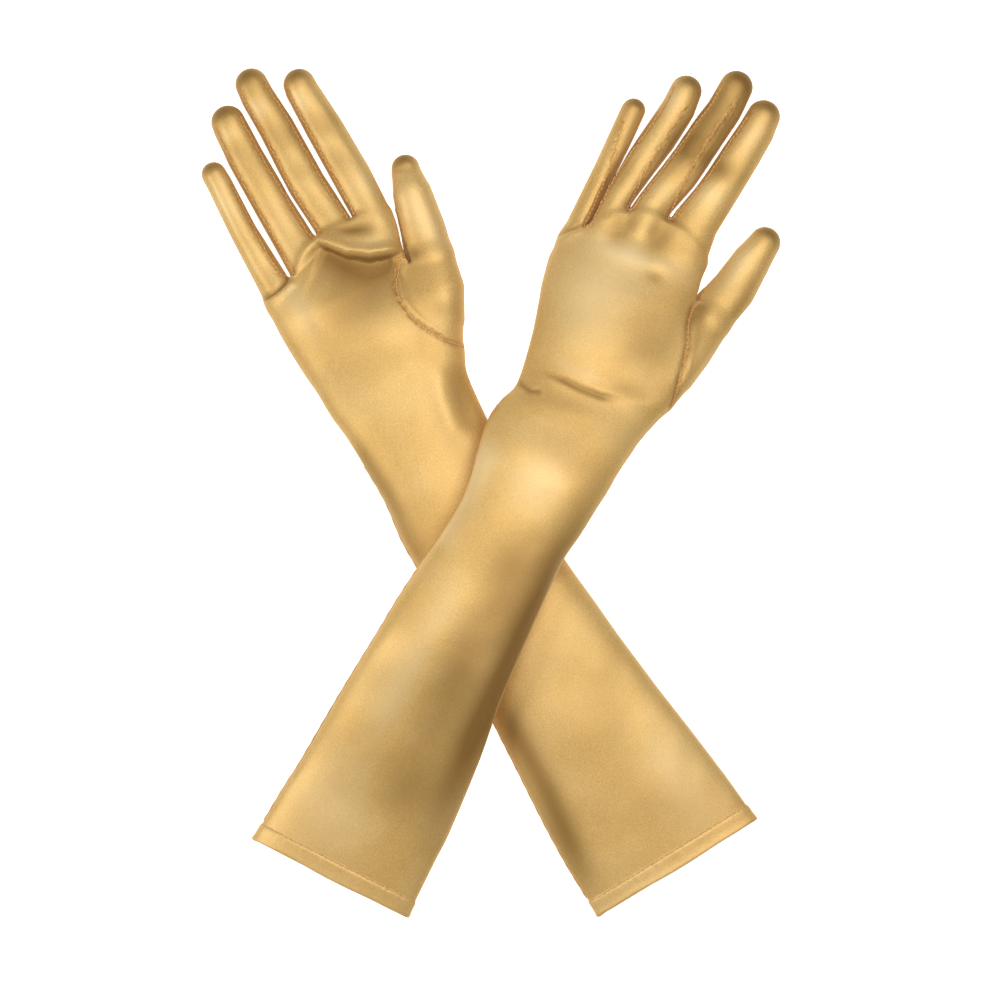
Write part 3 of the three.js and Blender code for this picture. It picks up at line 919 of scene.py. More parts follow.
@dataclass
class FormField:
    """Distance to one glove's surface, on a grid that lies along its sleeve.

    Attributes:
        form: The glove's shape.
        hand: Place of the hand.
        arm: Place of the sleeve's own line.
        cuff: Along place of the cuff's edge.
        cell: Size of a grid cell.
        margin: Empty cells' depth round the form.
        finger_middle: Height about which the slits between the fingers lean.
        wrist_ease: Along places between which the sleeve turns into the palm.
        palm_round: Reach of the rounding at the end of the palm.
        mound_melt: Reach of the fillet round the mound of the thumb.
        thumb_melt: Reach of the fillet at the root of the thumb.
        finger_melt: Reach of the fillets at the roots of the fingers.
        finger_squareness: Exponent of a finger's rounded section.
        slit_slope: How fast a slit deepens past its crotch.
        thumb_slit: Half width of the slit beside the thumb.
        thumb_slit_run: How far the slit beside the thumb runs on past its crotch, over the palm.
        smoothing_rounds: How often the surface is smoothed.
        least_share: Guard against dividing by nothing at a form's middle line.
    """

    form: GloveForm
    hand: Place
    arm: Place
    cuff: float
    cell: float = 1.0
    margin: float = 4.0
    finger_middle: float = 8.0
    wrist_ease: tuple[float, float] = (-14.0, 12.0)
    palm_round: float = 3.0
    mound_melt: float = 7.0
    thumb_melt: float = 3.0
    finger_melt: float = 4.0
    finger_squareness: float = 2.2
    slit_slope: float = 0.8
    thumb_slit: float = 0.75
    thumb_slit_run: float = 12.0
    smoothing_rounds: int = 2
    least_share: float = 1e-3

    def __post_init__(self) -> None:
        """Lays out the grid round the sleeve and the hand."""
        p = [c + s * h for _, c, h in self.form.arm.outline for s in (-1, 1)]
        q = [self.cuff]
        for shape in [*self.form.fingers.values(), self.form.mound]:
            for u, v, half in shape.path:
                a, b = self.arm.local(*self.hand.table(np.array(u), np.array(v)))
                p += [float(a) - half, float(a) + half]
                q.append(float(b) + half)
        self.wrist_along = float(self.arm.local(np.array(self.hand.x), np.array(self.hand.y))[1])
        top = max(f for _, f in self.form.arm.floor) + max(t for _, t in self.form.arm.thick)
        self.low = np.array([min(p), min(q), 0]) - self.margin
        high = np.array([max(p), max(q), top]) + self.margin
        self.p, self.q, self.z = (
            np.arange(lo, hi, self.cell, dtype=np.float32) for lo, hi in zip(self.low, high)
        )
        x, y = self.arm.table(self.p[:, None], self.q[None, :])
        u, v = self.hand.local(x, y)
        self.u, self.v = u.astype(np.float32), v.astype(np.float32)

    def oval(self, plan: np.ndarray, reach: np.ndarray, middle: np.ndarray, half: np.ndarray,
             power: float) -> np.ndarray:
        """Distance to a form whose upright sections are rounded ovals.

        Args:
            plan: Distance from the form's middle line in plan.
            reach: Half width there.
            middle: Height of the section's middle.
            half: Half thickness.
            power: Exponent of the oval.

        Returns:
            Distance at each grid point, negative inside.
        """
        rise = self.z[None, None, :] - middle[..., None]
        flat = (np.abs(plan) / reach)[..., None] ** power
        share = (flat + (np.abs(rise) / half[..., None]) ** power) ** (1 / power)
        share = np.maximum(share, self.least_share)
        out = np.hypot(plan[..., None], rise)
        return (out * (1 - 1 / share)).astype(np.float32)

    def arm_field(self) -> np.ndarray:
        """Distance to the sleeve, run on past the cuff and into the wrist.

        Returns:
            Distance at each grid point, negative inside.
        """
        arm = self.form.arm
        q = self.q[None, :]
        behind = self.wrist_along - self.q
        half = eased(arm.thick, behind)[None, :] / 2
        middle = eased(arm.floor, behind)[None, :] + half
        centre, reach = eased(arm.outline, q, 1), eased(arm.outline, q, 2)
        plan = self.p[:, None] - centre
        shape = plan.shape
        return self.oval(plan, np.broadcast_to(reach, shape), np.broadcast_to(middle, shape),
                         np.broadcast_to(half, shape), arm.squareness)

    def palm_field(self) -> np.ndarray:
        """Distance to the palm, rounded off between the fingers.

        Returns:
            Distance at each grid point, negative inside.
        """
        palm = self.form.palm
        left, right = eased(palm.edges, self.v, 1), eased(palm.edges, self.v, 2)
        half = eased(palm.thick, self.v) / 2
        middle = eased(palm.floor, self.v) + half
        body = self.oval(self.u - (left + right) / 2, (right - left) / 2, middle, half,
                         palm.squareness)
        end = (self.v - eased(palm.end, self.u))[..., None]
        return -melted(-body, -np.broadcast_to(end, body.shape), self.palm_round)

    def finger_field(self, shape: FingerForm) -> np.ndarray:
        """Distance to one finger.

        Args:
            shape: The finger, or the mound of the thumb.

        Returns:
            Distance at each grid point, negative inside.
        """
        path = np.array(shape.path)
        best = np.full(self.u.shape, np.inf)
        reach, place = np.ones(self.u.shape), np.zeros(self.u.shape)
        lengths = np.linalg.norm(np.diff(path[:, :2], axis=0), axis=1)
        done = np.concatenate([[0], np.cumsum(lengths)])
        for k, length in enumerate(lengths):
            e = (path[k + 1, :2] - path[k, :2]) / length
            du, dv = self.u - path[k, 0], self.v - path[k, 1]
            t = np.clip(du * e[0] + dv * e[1], 0, length)
            distance = np.hypot(du - t * e[0], dv - t * e[1])
            wide = path[k, 2] + (path[k + 1, 2] - path[k, 2]) * t / length
            nearer = distance / wide < best
            best = np.where(nearer, distance / wide, best)
            reach = np.where(nearer, wide, reach)
            place = np.where(nearer, (done[k] + t) / done[-1], place)
        half = eased(shape.thick, place) / 2
        middle = eased(self.form.palm.floor, self.v) + half
        return self.oval(best * reach, reach, middle, half, self.finger_squareness)

    def whole(self) -> tuple[np.ndarray, dict[str, np.ndarray]]:
        """The whole glove, with its fingers parted by slits.

        Returns:
            Distance to the glove at each grid point, and to each finger by itself.
        """
        ease = smooth_step(self.v, *self.wrist_ease)[..., None]
        palm = self.palm_field()
        body = ((1 - ease) * self.arm_field() + ease * palm).astype(np.float32)
        body = melted(body, self.finger_field(self.form.mound), self.mound_melt)
        fingers = {name: self.finger_field(f) for name, f in self.form.fingers.items()}
        thumb = fingers["thumb"]
        whole = melted(body, thumb, self.thumb_melt)
        four = [distance for name, distance in fingers.items() if name != "thumb"]
        whole = melted(whole, np.minimum.reduce(four), self.finger_melt)
        u, v = self.u[..., None], self.v[..., None]
        lean = self.form.slit_tilt * (self.z[None, None, :] - self.finger_middle)
        for one, other, (_, crotch_along) in zip(four, four[1:], self.form.crotches):
            past = (v - crotch_along) * self.slit_slope
            apart = np.abs(one - other + lean) / 2
            whole = np.maximum(whole, np.minimum(self.form.slit - apart, past))
        across, along = self.form.thumb_crotch
        beside = np.minimum(palm, four[0])
        past = np.minimum(v - along, u - (across - self.thumb_slit_run)) * self.slit_slope
        whole = np.maximum(whole, np.minimum(self.thumb_slit - np.abs(thumb - beside) / 2, past))
        return whole, fingers

    def surface(self) -> tuple[ClothMesh, dict[str, np.ndarray]]:
        """The glove's surface, cut off at the cuff.

        Returns:
            The surface on the sleeve's own line, and each point's distance to each finger.
        """
        whole, fingers = self.whole()
        grid = openvdb.FloatGrid(float(self.margin))
        grid.copyFromArray(np.clip(whole, -self.margin, self.margin).astype(np.float32))
        points, quads = grid.convertToQuads(isovalue=0.0)
        corner = [self.p[0], self.q[0], self.z[0]]
        points = np.asarray(points, float) * self.cell
        mesh = ClothMesh(points + corner, np.asarray(quads, np.int64))
        mesh.turn_outward()
        mesh.relax(self.smoothing_rounds)
        index = np.round((mesh.points - corner) / self.cell).astype(int)
        for axis, size in enumerate(whole.shape):
            index[:, axis] = np.clip(index[:, axis], 0, size - 1)
        near = {n: f[index[:, 0], index[:, 1], index[:, 2]] for n, f in fingers.items()}
        beyond = mesh.points[:, 1] < self.cuff
        mesh.points[beyond, 1] = self.cuff
        mesh.faces = mesh.faces[~beyond[mesh.faces].all(axis=1)]
        return mesh, near


# ---- finishes


@dataclass
class NodeBench:
    """Lays nodes out in a tree and joins them.

    Attributes:
        tree: The tree that the nodes are in.
    """

    tree: bpy.types.NodeTree

    def add(self, kind: str, **settings: object) -> bpy.types.Node:
        """Adds a node.

        Args:
            kind: Blender's name for the kind of node.
            **settings: Values of the node's own properties.

        Returns:
            The new node.
        """
        node = self.tree.nodes.new(kind)
        for key, value in settings.items():
            setattr(node, key, value)
        return node

    def join(self, source: bpy.types.NodeSocket, target: bpy.types.NodeSocket) -> None:
        """A link from one socket to another."""
        self.tree.links.new(source, target)

    def maths(self, operation: str, a: object, b: object) -> bpy.types.NodeSocket:
        """Adds a Math node.

        Args:
            operation: What it works out.
            a: A socket or a number.
            b: A socket or a number.

        Returns:
            Its output.
        """
        node = self.add("ShaderNodeMath", operation=operation)
        for socket, value in zip(node.inputs, (a, b)):
            if isinstance(value, bpy.types.NodeSocket):
                self.join(value, socket)
            else:
                socket.default_value = value
        return node.outputs[0]

    def mixed(self, factor: bpy.types.NodeSocket, a: object, b: object) -> bpy.types.NodeSocket:
        """Adds a Mix node for colours.

        Args:
            factor: The share of the second colour.
            a: A socket or a colour.
            b: A socket or a colour.

        Returns:
            Its colour output.
        """
        node = self.add("ShaderNodeMix", data_type="RGBA")
        self.join(factor, node.inputs[0])
        for socket, value in zip((node.inputs[6], node.inputs[7]), (a, b)):
            if isinstance(value, bpy.types.NodeSocket):
                self.join(value, socket)
            else:
                socket.default_value = (*value, 1.0)
        return node.outputs[2]


@dataclass(frozen=True)
class GroupSocket:
    """One named socket of a node group.

    Attributes:
        name: The socket's name.
        kind: Blender's name for the kind of socket.
        value: Its value where nothing is joined to it.
    """

    name: str
    kind: str = "NodeSocketFloat"
    value: float | None = None


def new_group(name: str, inputs: Sequence[GroupSocket], outputs: Sequence[GroupSocket]) -> tuple[
    bpy.types.NodeTree, NodeBench, bpy.types.Node, bpy.types.Node
]:
    """A shader node group with named sockets.

    Args:
        name: The group's name.
        inputs: Its inputs.
        outputs: Its outputs.

    Returns:
        The group, a bench to lay its nodes on, and its input and output nodes.
    """
    tree = bpy.data.node_groups.new(name, "ShaderNodeTree")
    for way, sockets in (("INPUT", inputs), ("OUTPUT", outputs)):
        for socket in sockets:
            made = tree.interface.new_socket(socket.name, in_out=way, socket_type=socket.kind)
            if socket.value is not None:
                made.default_value = socket.value
    bench = NodeBench(tree)
    return tree, bench, bench.add("NodeGroupInput"), bench.add("NodeGroupOutput")


def new_material(name: str) -> tuple[
    bpy.types.Material, NodeBench, bpy.types.Node, bpy.types.NodeSocket
]:
    """A material with its shader, ready to be dressed.

    Args:
        name: The material's name.

    Returns:
        The material, a bench to lay its nodes on, its shader, and the object's own places.
    """
    material = bpy.data.materials.new(name)
    material.use_nodes = True
    bench = NodeBench(material.node_tree)
    place = bench.add("ShaderNodeTexCoord").outputs["Object"]
    return material, bench, material.node_tree.nodes["Principled BSDF"], place


class ClothEffects:
    """The node groups that the finishes share.

    Attributes:
        grain: Fine satin grain.
        mottle: Slow drift of tone.
        pucker: Small gathers beside a seam.
    """

    # Size of the specks against the floats, and each one's share of the grain.
    SPECK_SCALE = 0.8
    FLOAT_SHARE = 0.75
    SPECK_SHARE = 0.3

    def __init__(self) -> None:
        """Builds each group once."""
        self.grain = self.build_grain()
        self.mottle = self.build_mottle()
        self.pucker = self.build_pucker()

    @staticmethod
    def build_grain() -> bpy.types.NodeTree:
        """Fine satin grain: short floats of thread along one way, with specks between.

        Returns:
            The node group.
        """
        tree, bench, given, out = new_group(
            "satin_grain",
            [GroupSocket("Place", "NodeSocketVector"), GroupSocket("Per Metre", value=1300.0)],
            [GroupSocket("Tone"), GroupSocket("Height")],
        )
        scaled = bench.add("ShaderNodeMapping")
        scaled.inputs["Scale"].default_value = (1.0, 0.55, 1.0)
        scaled.inputs["Rotation"].default_value = (0.0, 0.0, 0.5)
        bench.join(given.outputs["Place"], scaled.inputs["Vector"])
        floats = bench.add("ShaderNodeTexNoise")
        floats.inputs["Detail"].default_value = 2.0
        bench.join(scaled.outputs[0], floats.inputs["Vector"])
        bench.join(given.outputs["Per Metre"], floats.inputs["Scale"])
        specks = bench.add("ShaderNodeTexVoronoi")
        bench.join(given.outputs["Place"], specks.inputs["Vector"])
        finer = bench.maths("MULTIPLY", given.outputs["Per Metre"], ClothEffects.SPECK_SCALE)
        bench.join(finer, specks.inputs["Scale"])
        both = bench.maths(
            "ADD", bench.maths("MULTIPLY", floats.outputs[0], ClothEffects.FLOAT_SHARE),
            bench.maths("MULTIPLY", specks.outputs["Distance"], ClothEffects.SPECK_SHARE))
        bench.join(both, out.inputs["Tone"])
        bench.join(both, out.inputs["Height"])
        return tree

    @staticmethod
    def build_mottle() -> bpy.types.NodeTree:
        """Slow drift of tone over the cloth, as worn and pressed satin has.

        Returns:
            The node group.
        """
        tree, bench, given, out = new_group(
            "soft_mottle",
            [GroupSocket("Place", "NodeSocketVector"), GroupSocket("Per Metre", value=32.0)],
            [GroupSocket("Tone")],
        )
        clouds = bench.add("ShaderNodeTexNoise")
        clouds.inputs["Detail"].default_value = 3.0
        clouds.inputs["Roughness"].default_value = 0.45
        bench.join(given.outputs["Place"], clouds.inputs["Vector"])
        bench.join(given.outputs["Per Metre"], clouds.inputs["Scale"])
        spread = bench.add("ShaderNodeMapRange", interpolation_type="SMOOTHSTEP")
        spread.inputs["From Min"].default_value = 0.36
        spread.inputs["From Max"].default_value = 0.64
        bench.join(clouds.outputs[0], spread.inputs["Value"])
        bench.join(spread.outputs[0], out.inputs["Tone"])
        return tree

    @staticmethod
    def build_pucker() -> bpy.types.NodeTree:
        """Small gathers that the thread draws up beside a seam.

        Returns:
            The node group.
        """
        tree, bench, given, out = new_group(
            "seam_pucker",
            [GroupSocket("Place", "NodeSocketVector"), GroupSocket("Seam")],
            [GroupSocket("Height"), GroupSocket("Tone")],
        )
        ripples = bench.add("ShaderNodeTexNoise")
        ripples.inputs["Scale"].default_value = 380.0
        ripples.inputs["Detail"].default_value = 1.0
        bench.join(given.outputs["Place"], ripples.inputs["Vector"])
        gathered = bench.maths("MULTIPLY", ripples.outputs[0], given.outputs["Seam"])
        bench.join(gathered, out.inputs["Height"])
        bench.join(gathered, out.inputs["Tone"])
        return tree


@dataclass(frozen=True)
class SatinFinish:
    """Satin cloth.

    Attributes:
        name: The material's name.
        deep: Colour where the tone is lowest.
        body: Main colour.
        bright: Colour where the tone is highest.
        strip: Colour of the narrow strips between the fingers.
        seam: Colour along the seams.
        shaded: Painted shade, the colour laid where the tone mark is positive: in folds, hollows,
            under the palm's fold, on the fingertips and down the sleeves' dark bands.
        gleam: Painted highlight, the colour laid where the tone mark is negative.
        roughness: Middle roughness.
        metallic: How much the gloss takes the cloth's own colour.
        sheen: Weight of the pale sheen at grazing angles.
        grain_bump: Height of the grain, in metres.
        grain_scale: Grains per metre.
        mottle_scale: Clouds of tone per metre.
        mottle_share: How far the clouds swing the tone.
        tone_base: Tone where a cloud is darkest.
        grain_share: How far the grain swings the tone.
        strip_share: How much of a strip's own colour shows.
        shade_gain: Strength of the painted shade.
        seam_base: Strength of a seam's colour between its gathers.
        grain_rough: How far the grain swings the roughness.
        sheen_roughness: Roughness of the sheen.
        sheen_tint: Colour of the sheen.
        specular_tint: Colour of the gloss.
        pucker_bump: Height of the gathers at a seam, in metres.
        bump_strength: Strength of the raised grain and gathers.
    """

    name: str
    deep: tuple[float, float, float] = (0.55, 0.31, 0.085)
    body: tuple[float, float, float] = (0.70, 0.435, 0.145)
    bright: tuple[float, float, float] = (0.82, 0.58, 0.25)
    strip: tuple[float, float, float] = (0.64, 0.39, 0.13)
    seam: tuple[float, float, float] = (0.62, 0.31, 0.08)
    shaded: tuple[float, float, float] = (0.30, 0.16, 0.042)
    gleam: tuple[float, float, float] = (0.98, 0.76, 0.42)
    roughness: float = 0.46
    metallic: float = 0.3
    sheen: float = 0.3
    grain_bump: float = 0.00012
    grain_scale: float = 2300.0
    mottle_scale: float = 32.0
    mottle_share: float = 0.2
    tone_base: float = 0.4
    grain_share: float = 1.5
    strip_share: float = 0.7
    shade_gain: float = 1.1
    seam_base: float = 0.25
    grain_rough: float = 0.16
    sheen_roughness: float = 0.35
    sheen_tint: tuple[float, float, float] = (1.0, 0.84, 0.52)
    specular_tint: tuple[float, float, float] = (1.0, 0.80, 0.45)
    pucker_bump: float = 0.0016
    bump_strength: float = 0.8

    def build(self, effects: ClothEffects) -> bpy.types.Material:
        """Builds the finish.

        Args:
            effects: The shared node groups.

        Returns:
            The material.
        """
        material, bench, shader, place = new_material(self.name)
        grain = bench.add("ShaderNodeGroup", node_tree=effects.grain)
        mottle = bench.add("ShaderNodeGroup", node_tree=effects.mottle)
        pucker = bench.add("ShaderNodeGroup", node_tree=effects.pucker)
        strip = bench.add("ShaderNodeAttribute", attribute_name="strip").outputs["Fac"]
        seam = bench.add("ShaderNodeAttribute", attribute_name="seam").outputs["Fac"]
        for group in (grain, mottle, pucker):
            bench.join(place, group.inputs["Place"])
        grain.inputs["Per Metre"].default_value = self.grain_scale
        mottle.inputs["Per Metre"].default_value = self.mottle_scale
        bench.join(seam, pucker.inputs["Seam"])
        ramp = bench.add("ShaderNodeValToRGB")
        ramp.color_ramp.elements[0].color = (*self.deep, 1)
        ramp.color_ramp.elements[1].color = (*self.bright, 1)
        ramp.color_ramp.elements.new(0.5).color = (*self.body, 1)
        cloud = bench.maths("MULTIPLY", mottle.outputs["Tone"], self.mottle_share)
        tone = bench.maths("ADD", cloud, self.tone_base)
        fine = bench.maths("MULTIPLY", bench.maths("SUBTRACT", grain.outputs["Tone"], 0.5),
                           self.grain_share)
        bench.join(bench.maths("ADD", tone, fine), ramp.inputs[0])
        colour = bench.mixed(bench.maths("MULTIPLY", strip, self.strip_share), ramp.outputs[0],
                             self.strip)
        # The tone mark paints shade into the colour where positive and a highlight where negative.
        painted_light_mark = bench.add("ShaderNodeAttribute", attribute_name="tone").outputs["Fac"]
        deep = bench.maths("MULTIPLY", bench.maths("MAXIMUM", painted_light_mark, 0.0), self.shade_gain)
        colour = bench.mixed(deep, colour, self.shaded)
        bright = bench.maths("MAXIMUM", bench.maths("MULTIPLY", painted_light_mark, -1.0), 0.0)
        colour = bench.mixed(bright, colour, self.gleam)
        line = bench.maths("MULTIPLY", seam,
                           bench.maths("ADD", pucker.outputs["Tone"], self.seam_base))
        colour = bench.mixed(line, colour, self.seam)
        bench.join(colour, shader.inputs["Base Color"])
        rough = bench.maths("ADD", bench.maths("MULTIPLY", grain.outputs["Tone"], self.grain_rough),
                            self.roughness - self.grain_rough / 2)
        bench.join(rough, shader.inputs["Roughness"])
        shader.inputs["Metallic"].default_value = self.metallic
        shader.inputs["Sheen Weight"].default_value = self.sheen
        shader.inputs["Sheen Roughness"].default_value = self.sheen_roughness
        shader.inputs["Sheen Tint"].default_value = (*self.sheen_tint, 1.0)
        shader.inputs["Specular Tint"].default_value = (*self.specular_tint, 1.0)
        raised = bench.maths("ADD", bench.maths("MULTIPLY", grain.outputs["Height"], self.grain_bump),
                             bench.maths("MULTIPLY", pucker.outputs["Height"], self.pucker_bump))
        bump = bench.add("ShaderNodeBump")
        bump.inputs["Distance"].default_value = 1.0
        bump.inputs["Strength"].default_value = self.bump_strength
        bench.join(raised, bump.inputs["Height"])
        bench.join(bump.outputs[0], shader.inputs["Normal"])
        return material


@dataclass(frozen=True)
class ThreadFinish:
    """Twisted sewing thread.

    Attributes:
        name: The material's name.
        dark: Colour between its twists.
        light: Colour on its twists.
        roughness: Middle roughness.
        grain_scale: Twists per metre.
        grain_rough: How far the twists swing the roughness.
        grain_bump: Height of the twists, in metres.
        sheen: Weight of the pale sheen at grazing angles.
    """

    name: str = "sewing_thread"
    dark: tuple[float, float, float] = (0.55, 0.29, 0.09)
    light: tuple[float, float, float] = (0.80, 0.50, 0.20)
    roughness: float = 0.5
    grain_scale: float = 2600.0
    grain_rough: float = 0.2
    grain_bump: float = 0.0001
    sheen: float = 0.3

    def build(self, effects: ClothEffects) -> bpy.types.Material:
        """Builds the finish.

        Args:
            effects: The shared node groups.

        Returns:
            The material.
        """
        material, bench, shader, place = new_material(self.name)
        grain = bench.add("ShaderNodeGroup", node_tree=effects.grain)
        bench.join(place, grain.inputs["Place"])
        grain.inputs["Per Metre"].default_value = self.grain_scale
        bench.join(bench.mixed(grain.outputs["Tone"], self.dark, self.light),
                   shader.inputs["Base Color"])
        rough = bench.maths("ADD", bench.maths("MULTIPLY", grain.outputs["Tone"], self.grain_rough),
                            self.roughness - self.grain_rough / 2)
        bench.join(rough, shader.inputs["Roughness"])
        bump = bench.add("ShaderNodeBump")
        bump.inputs["Distance"].default_value = self.grain_bump
        bench.join(grain.outputs["Height"], bump.inputs["Height"])
        bench.join(bump.outputs[0], shader.inputs["Normal"])
        shader.inputs["Sheen Weight"].default_value = self.sheen
        return material


@dataclass
class Wardrobe:
    """The finished materials.

    Attributes:
        satin: The outer side of the cloth.
        lining: The inner side of the cloth.
        hem: The hem band and the side seam's welt.
        thread: The stitching.
    """

    satin: bpy.types.Material
    lining: bpy.types.Material
    hem: bpy.types.Material
    thread: bpy.types.Material

    @classmethod
    def make(cls) -> "Wardrobe":
        """Builds every finish.

        Returns:
            The wardrobe.
        """
        effects = ClothEffects()
        hem = SatinFinish("hem_satin", deep=(0.60, 0.34, 0.10), body=(0.74, 0.47, 0.17),
                          bright=(0.84, 0.60, 0.27))
        lining = SatinFinish("satin_back", deep=(0.42, 0.25, 0.09), body=(0.55, 0.35, 0.14),
                             bright=(0.64, 0.43, 0.19), roughness=0.62, metallic=0.1, sheen=0.2)
        return cls(SatinFinish("glove_satin").build(effects), lining.build(effects),
                   hem.build(effects), ThreadFinish().build(effects))


# ---- the gloves

CELL = 1.0

# Where the waviness of each glove starts, so that the two differ.
WAVE_START = {Side.RIGHT: 0.7, Side.LEFT: 2.1}

# How a finger seam that shows on top curls round at its root, from the seam's first point.
SEAM_CURL: Pairs = ((4.6, 6.5), (3.7, 2.0), (2.4, -0.6), (0.9, -0.9))

# Section of the folded hem: distance from the cuff's edge, and height above the sleeve's surface.
HEM_SECTION: Pairs = (
    (1.0, -0.9), (0.5, -1.1), (0.12, -0.7), (0.0, 0.0), (0.12, 0.55), (0.6, 0.85), (1.6, 0.75),
    (3.2, 0.6), (5.0, 0.55), (7.0, 0.55), (8.3, 0.45), (9.0, -0.05), (9.5, 0.1), (9.8, -0.1),
    (9.8, -0.9), (7.0, -1.1), (4.0, -1.1),
)

# Ripples of the hem and wander of its edge: height, how many go round the cuff, and start.
HEM_RIPPLES: Triples = ((0.06, 46, 0), (0.05, 71, 1), (0.05, 17, 0))
EDGE_WANDER: Triples = ((0.35, 3, 0.6), (0.2, 7, 0))

# Section of the side seam's welt: place across it, and height above the sleeve's surface.
WELT_SECTION: Pairs = (
    (-0.9, -0.05), (-0.55, 0.28), (-0.12, 0.36), (0.0, 0.12), (0.12, 0.36), (0.55, 0.28),
    (0.9, -0.05), (0.0, -0.5),
)


def waves(turn: np.ndarray, rows: Triples) -> np.ndarray:
    """The sum of some waves at angles; each row is a wave's height, count and start."""
    return sum(height * np.sin(count * turn + start) for height, count, start in rows)


@dataclass
class Glove:
    """One glove: its cloth pieces, hem and stitching.

    Attributes:
        side: Which glove.
        form: Its shape.
        wardrobe: The finishes.
        wall: Thickness of the cloth.
        sleeve_end: Along place in the hand where the sleeve meets the hand panel.
        wrist_bend: Along places of the wrist's bend span, worked out in bend_wrist but not used.
        finger_bend: How far past its hinge a finger's bend end lies, worked out in bend_finger but not
            used.
        strip_edge: Share of a finger's half width where a side strip starts.
        tip_margin: How far short of the tip the strips end.
        hem_depth: Depth of the hem band.
        cap_shade: Strength of the painted shade on the fingertips.
        cap_place: How far past the tip's centre that painted shade is deepest, in half widths.
        cap_reach: Half width and half length of that painted shade, in half widths.
        waviness: Height of the cloth's slow waves.
        waves_begin: Distances from the cuff between which the waves set in.
        upper_slope: Upward part of the normal from which cloth counts as fully on top.
        seam_start: How far past its crotch a finger's seam starts.
        seam_points: How many points a finger's seam has.
        seam_reach: How far from a seam the cloth is drawn in.
        seam_depth: How deep the cloth is drawn in at a seam.
        thumb_reach: How near the thumb's form its stall stays.
        gusset_span: Along places between which the thumb gusset lies.
        drop_heights: Heights below and above the gloves from which the cloth is looked for.
        trace_step: Distance between the points of a traced seam.
        edge_on: Upward part of the normal below which a traced point is left out.
        ring_points: How many points the hem's stitching follows.
        hem_stitch_line: Distance of the hem's stitching from the cuff's edge.
        hem_stitch_rise: Height of the hem's stitching above the sleeve's surface.
        hem_gather: Distance from the cuff's edge where the hem ripples most, and their reach.
        table_gap: Least height of the hem above the table.
        welt_ends: How far the side seam's welt stays from the cuff's edge and from the wrist.
        welt_ripple: Height and length of the welt's ripples.
    """

    side: Side
    form: GloveForm
    frame: dict
    wardrobe: Wardrobe
    wall: float = 0.6
    sleeve_end: float = -6.0
    wrist_bend: tuple[float, float] = (-6.0, 30.0)
    finger_bend: float = 14.0
    strip_edge: float = 0.8
    tip_margin: float = 8.0
    hem_depth: float = 9.8
    cap_shade: float = 0.9
    cap_place: float = 0.95
    cap_reach: tuple[float, float] = (1.5, 0.85)
    waviness: float = 0.42
    waves_begin: tuple[float, float] = (8.0, 40.0)
    upper_slope: float = 0.45
    seam_start: float = 1.0
    seam_points: int = 24
    seam_reach: float = 1.3
    seam_depth: float = 0.6
    thumb_reach: float = 4.0
    gusset_span: tuple[float, float] = (-2.0, 64.0)
    drop_heights: tuple[float, float] = (-50.0, 150.0)
    trace_step: float = 0.8
    edge_on: float = 0.12
    ring_points: int = 900
    hem_stitch_line: float = 8.9
    hem_stitch_rise: float = 0.3
    hem_gather: tuple[float, float] = (8.6, 2.2)
    table_gap: float = 0.05
    welt_ends: tuple[float, float] = (11.0, 28.0)
    welt_ripple: tuple[float, float] = (0.08, 1.3)

    def __post_init__(self) -> None:
        """Reads where the wrist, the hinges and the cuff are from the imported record."""
        self.joints = {j["name"]: j for j in self.frame["joints"]}
        wrist = self.joints[f"{self.name}_wrist"]
        mounts = {m["name"]: m for m in self.frame["record"]["mounts"]}
        cuff = mounts[f"{self.name}_cuff_rim"]
        out = cuff["axis"]
        turn = math.degrees(math.atan2(out[0], -out[1]))
        self.arm = Place(0.0, 0.0, turn)
        self.hand = Place(wrist["pos_m"][0] / MM, wrist["pos_m"][1] / MM,
                          math.degrees(math.atan2(wrist["axis"][1], wrist["axis"][0])))
        at = self.arm.local(cuff["pos_m"][0] / MM, cuff["pos_m"][1] / MM)
        self.cuff = float(at[1]) - self.form.cuff_reach
        self.pieces: list[bpy.types.Object] = []

    @property
    def name(self) -> str:
        """The side's word, as the CAD names use it."""
        return self.side.value

    def hinge(self, finger: str) -> tuple[float, float, float]:
        """Where a finger folds.

        Args:
            finger: The finger's name.

        Returns:
            Across and along place of its hinge, and the finger's lean to the right in degrees.
        """
        joint = self.joints[f"{self.name}_{finger}_fold"]
        x, y, _ = joint["pos_m"]
        u, v = self.hand.local(x / MM, y / MM)
        heading = math.degrees(math.atan2(joint["axis"][1], joint["axis"][0]))
        return float(u), float(v), self.hand.heading - heading

    def table_point(self, u: float, v: float, z: float = 0.0) -> tuple[float, float, float]:
        """A point in metres from a place in the hand and a height in millimetres."""
        x, y = self.hand.table(u, v)
        return float(x) * MM, float(y) * MM, z * MM

    # ---- surface

    def shape_cloth(self) -> None:
        """Makes the glove's whole surface, with its folds, and finds each point's places."""
        cell = CELL
        self.field = FormField(self.form, self.hand, self.arm, self.cuff, cell)
        mesh, self.near = self.field.surface()
        self.p, self.q = mesh.points[:, 0].copy(), mesh.points[:, 1].copy()
        x, y = self.arm.table(self.p, self.q)
        self.u, self.v = self.hand.local(x, y)
        mesh.points = np.stack([x, y, mesh.points[:, 2]], axis=1)
        mesh.find_normals()
        mesh.turn_outward()
        upper = smooth_step(mesh.normals[:, 2], 0.0, self.upper_slope)
        free = smooth_step(self.q, *(self.cuff + distance for distance in self.waves_begin))
        push = np.zeros(len(mesh.points))
        for fold in self.form.hand_folds:
            push += fold.push(self.u, self.v)
        for fold in self.form.arm_folds:
            push += fold.push(self.p, self.q)
        push += self.waviness * self.drift(self.p, self.q) * free
        self.seam = self.seam_marks(upper)
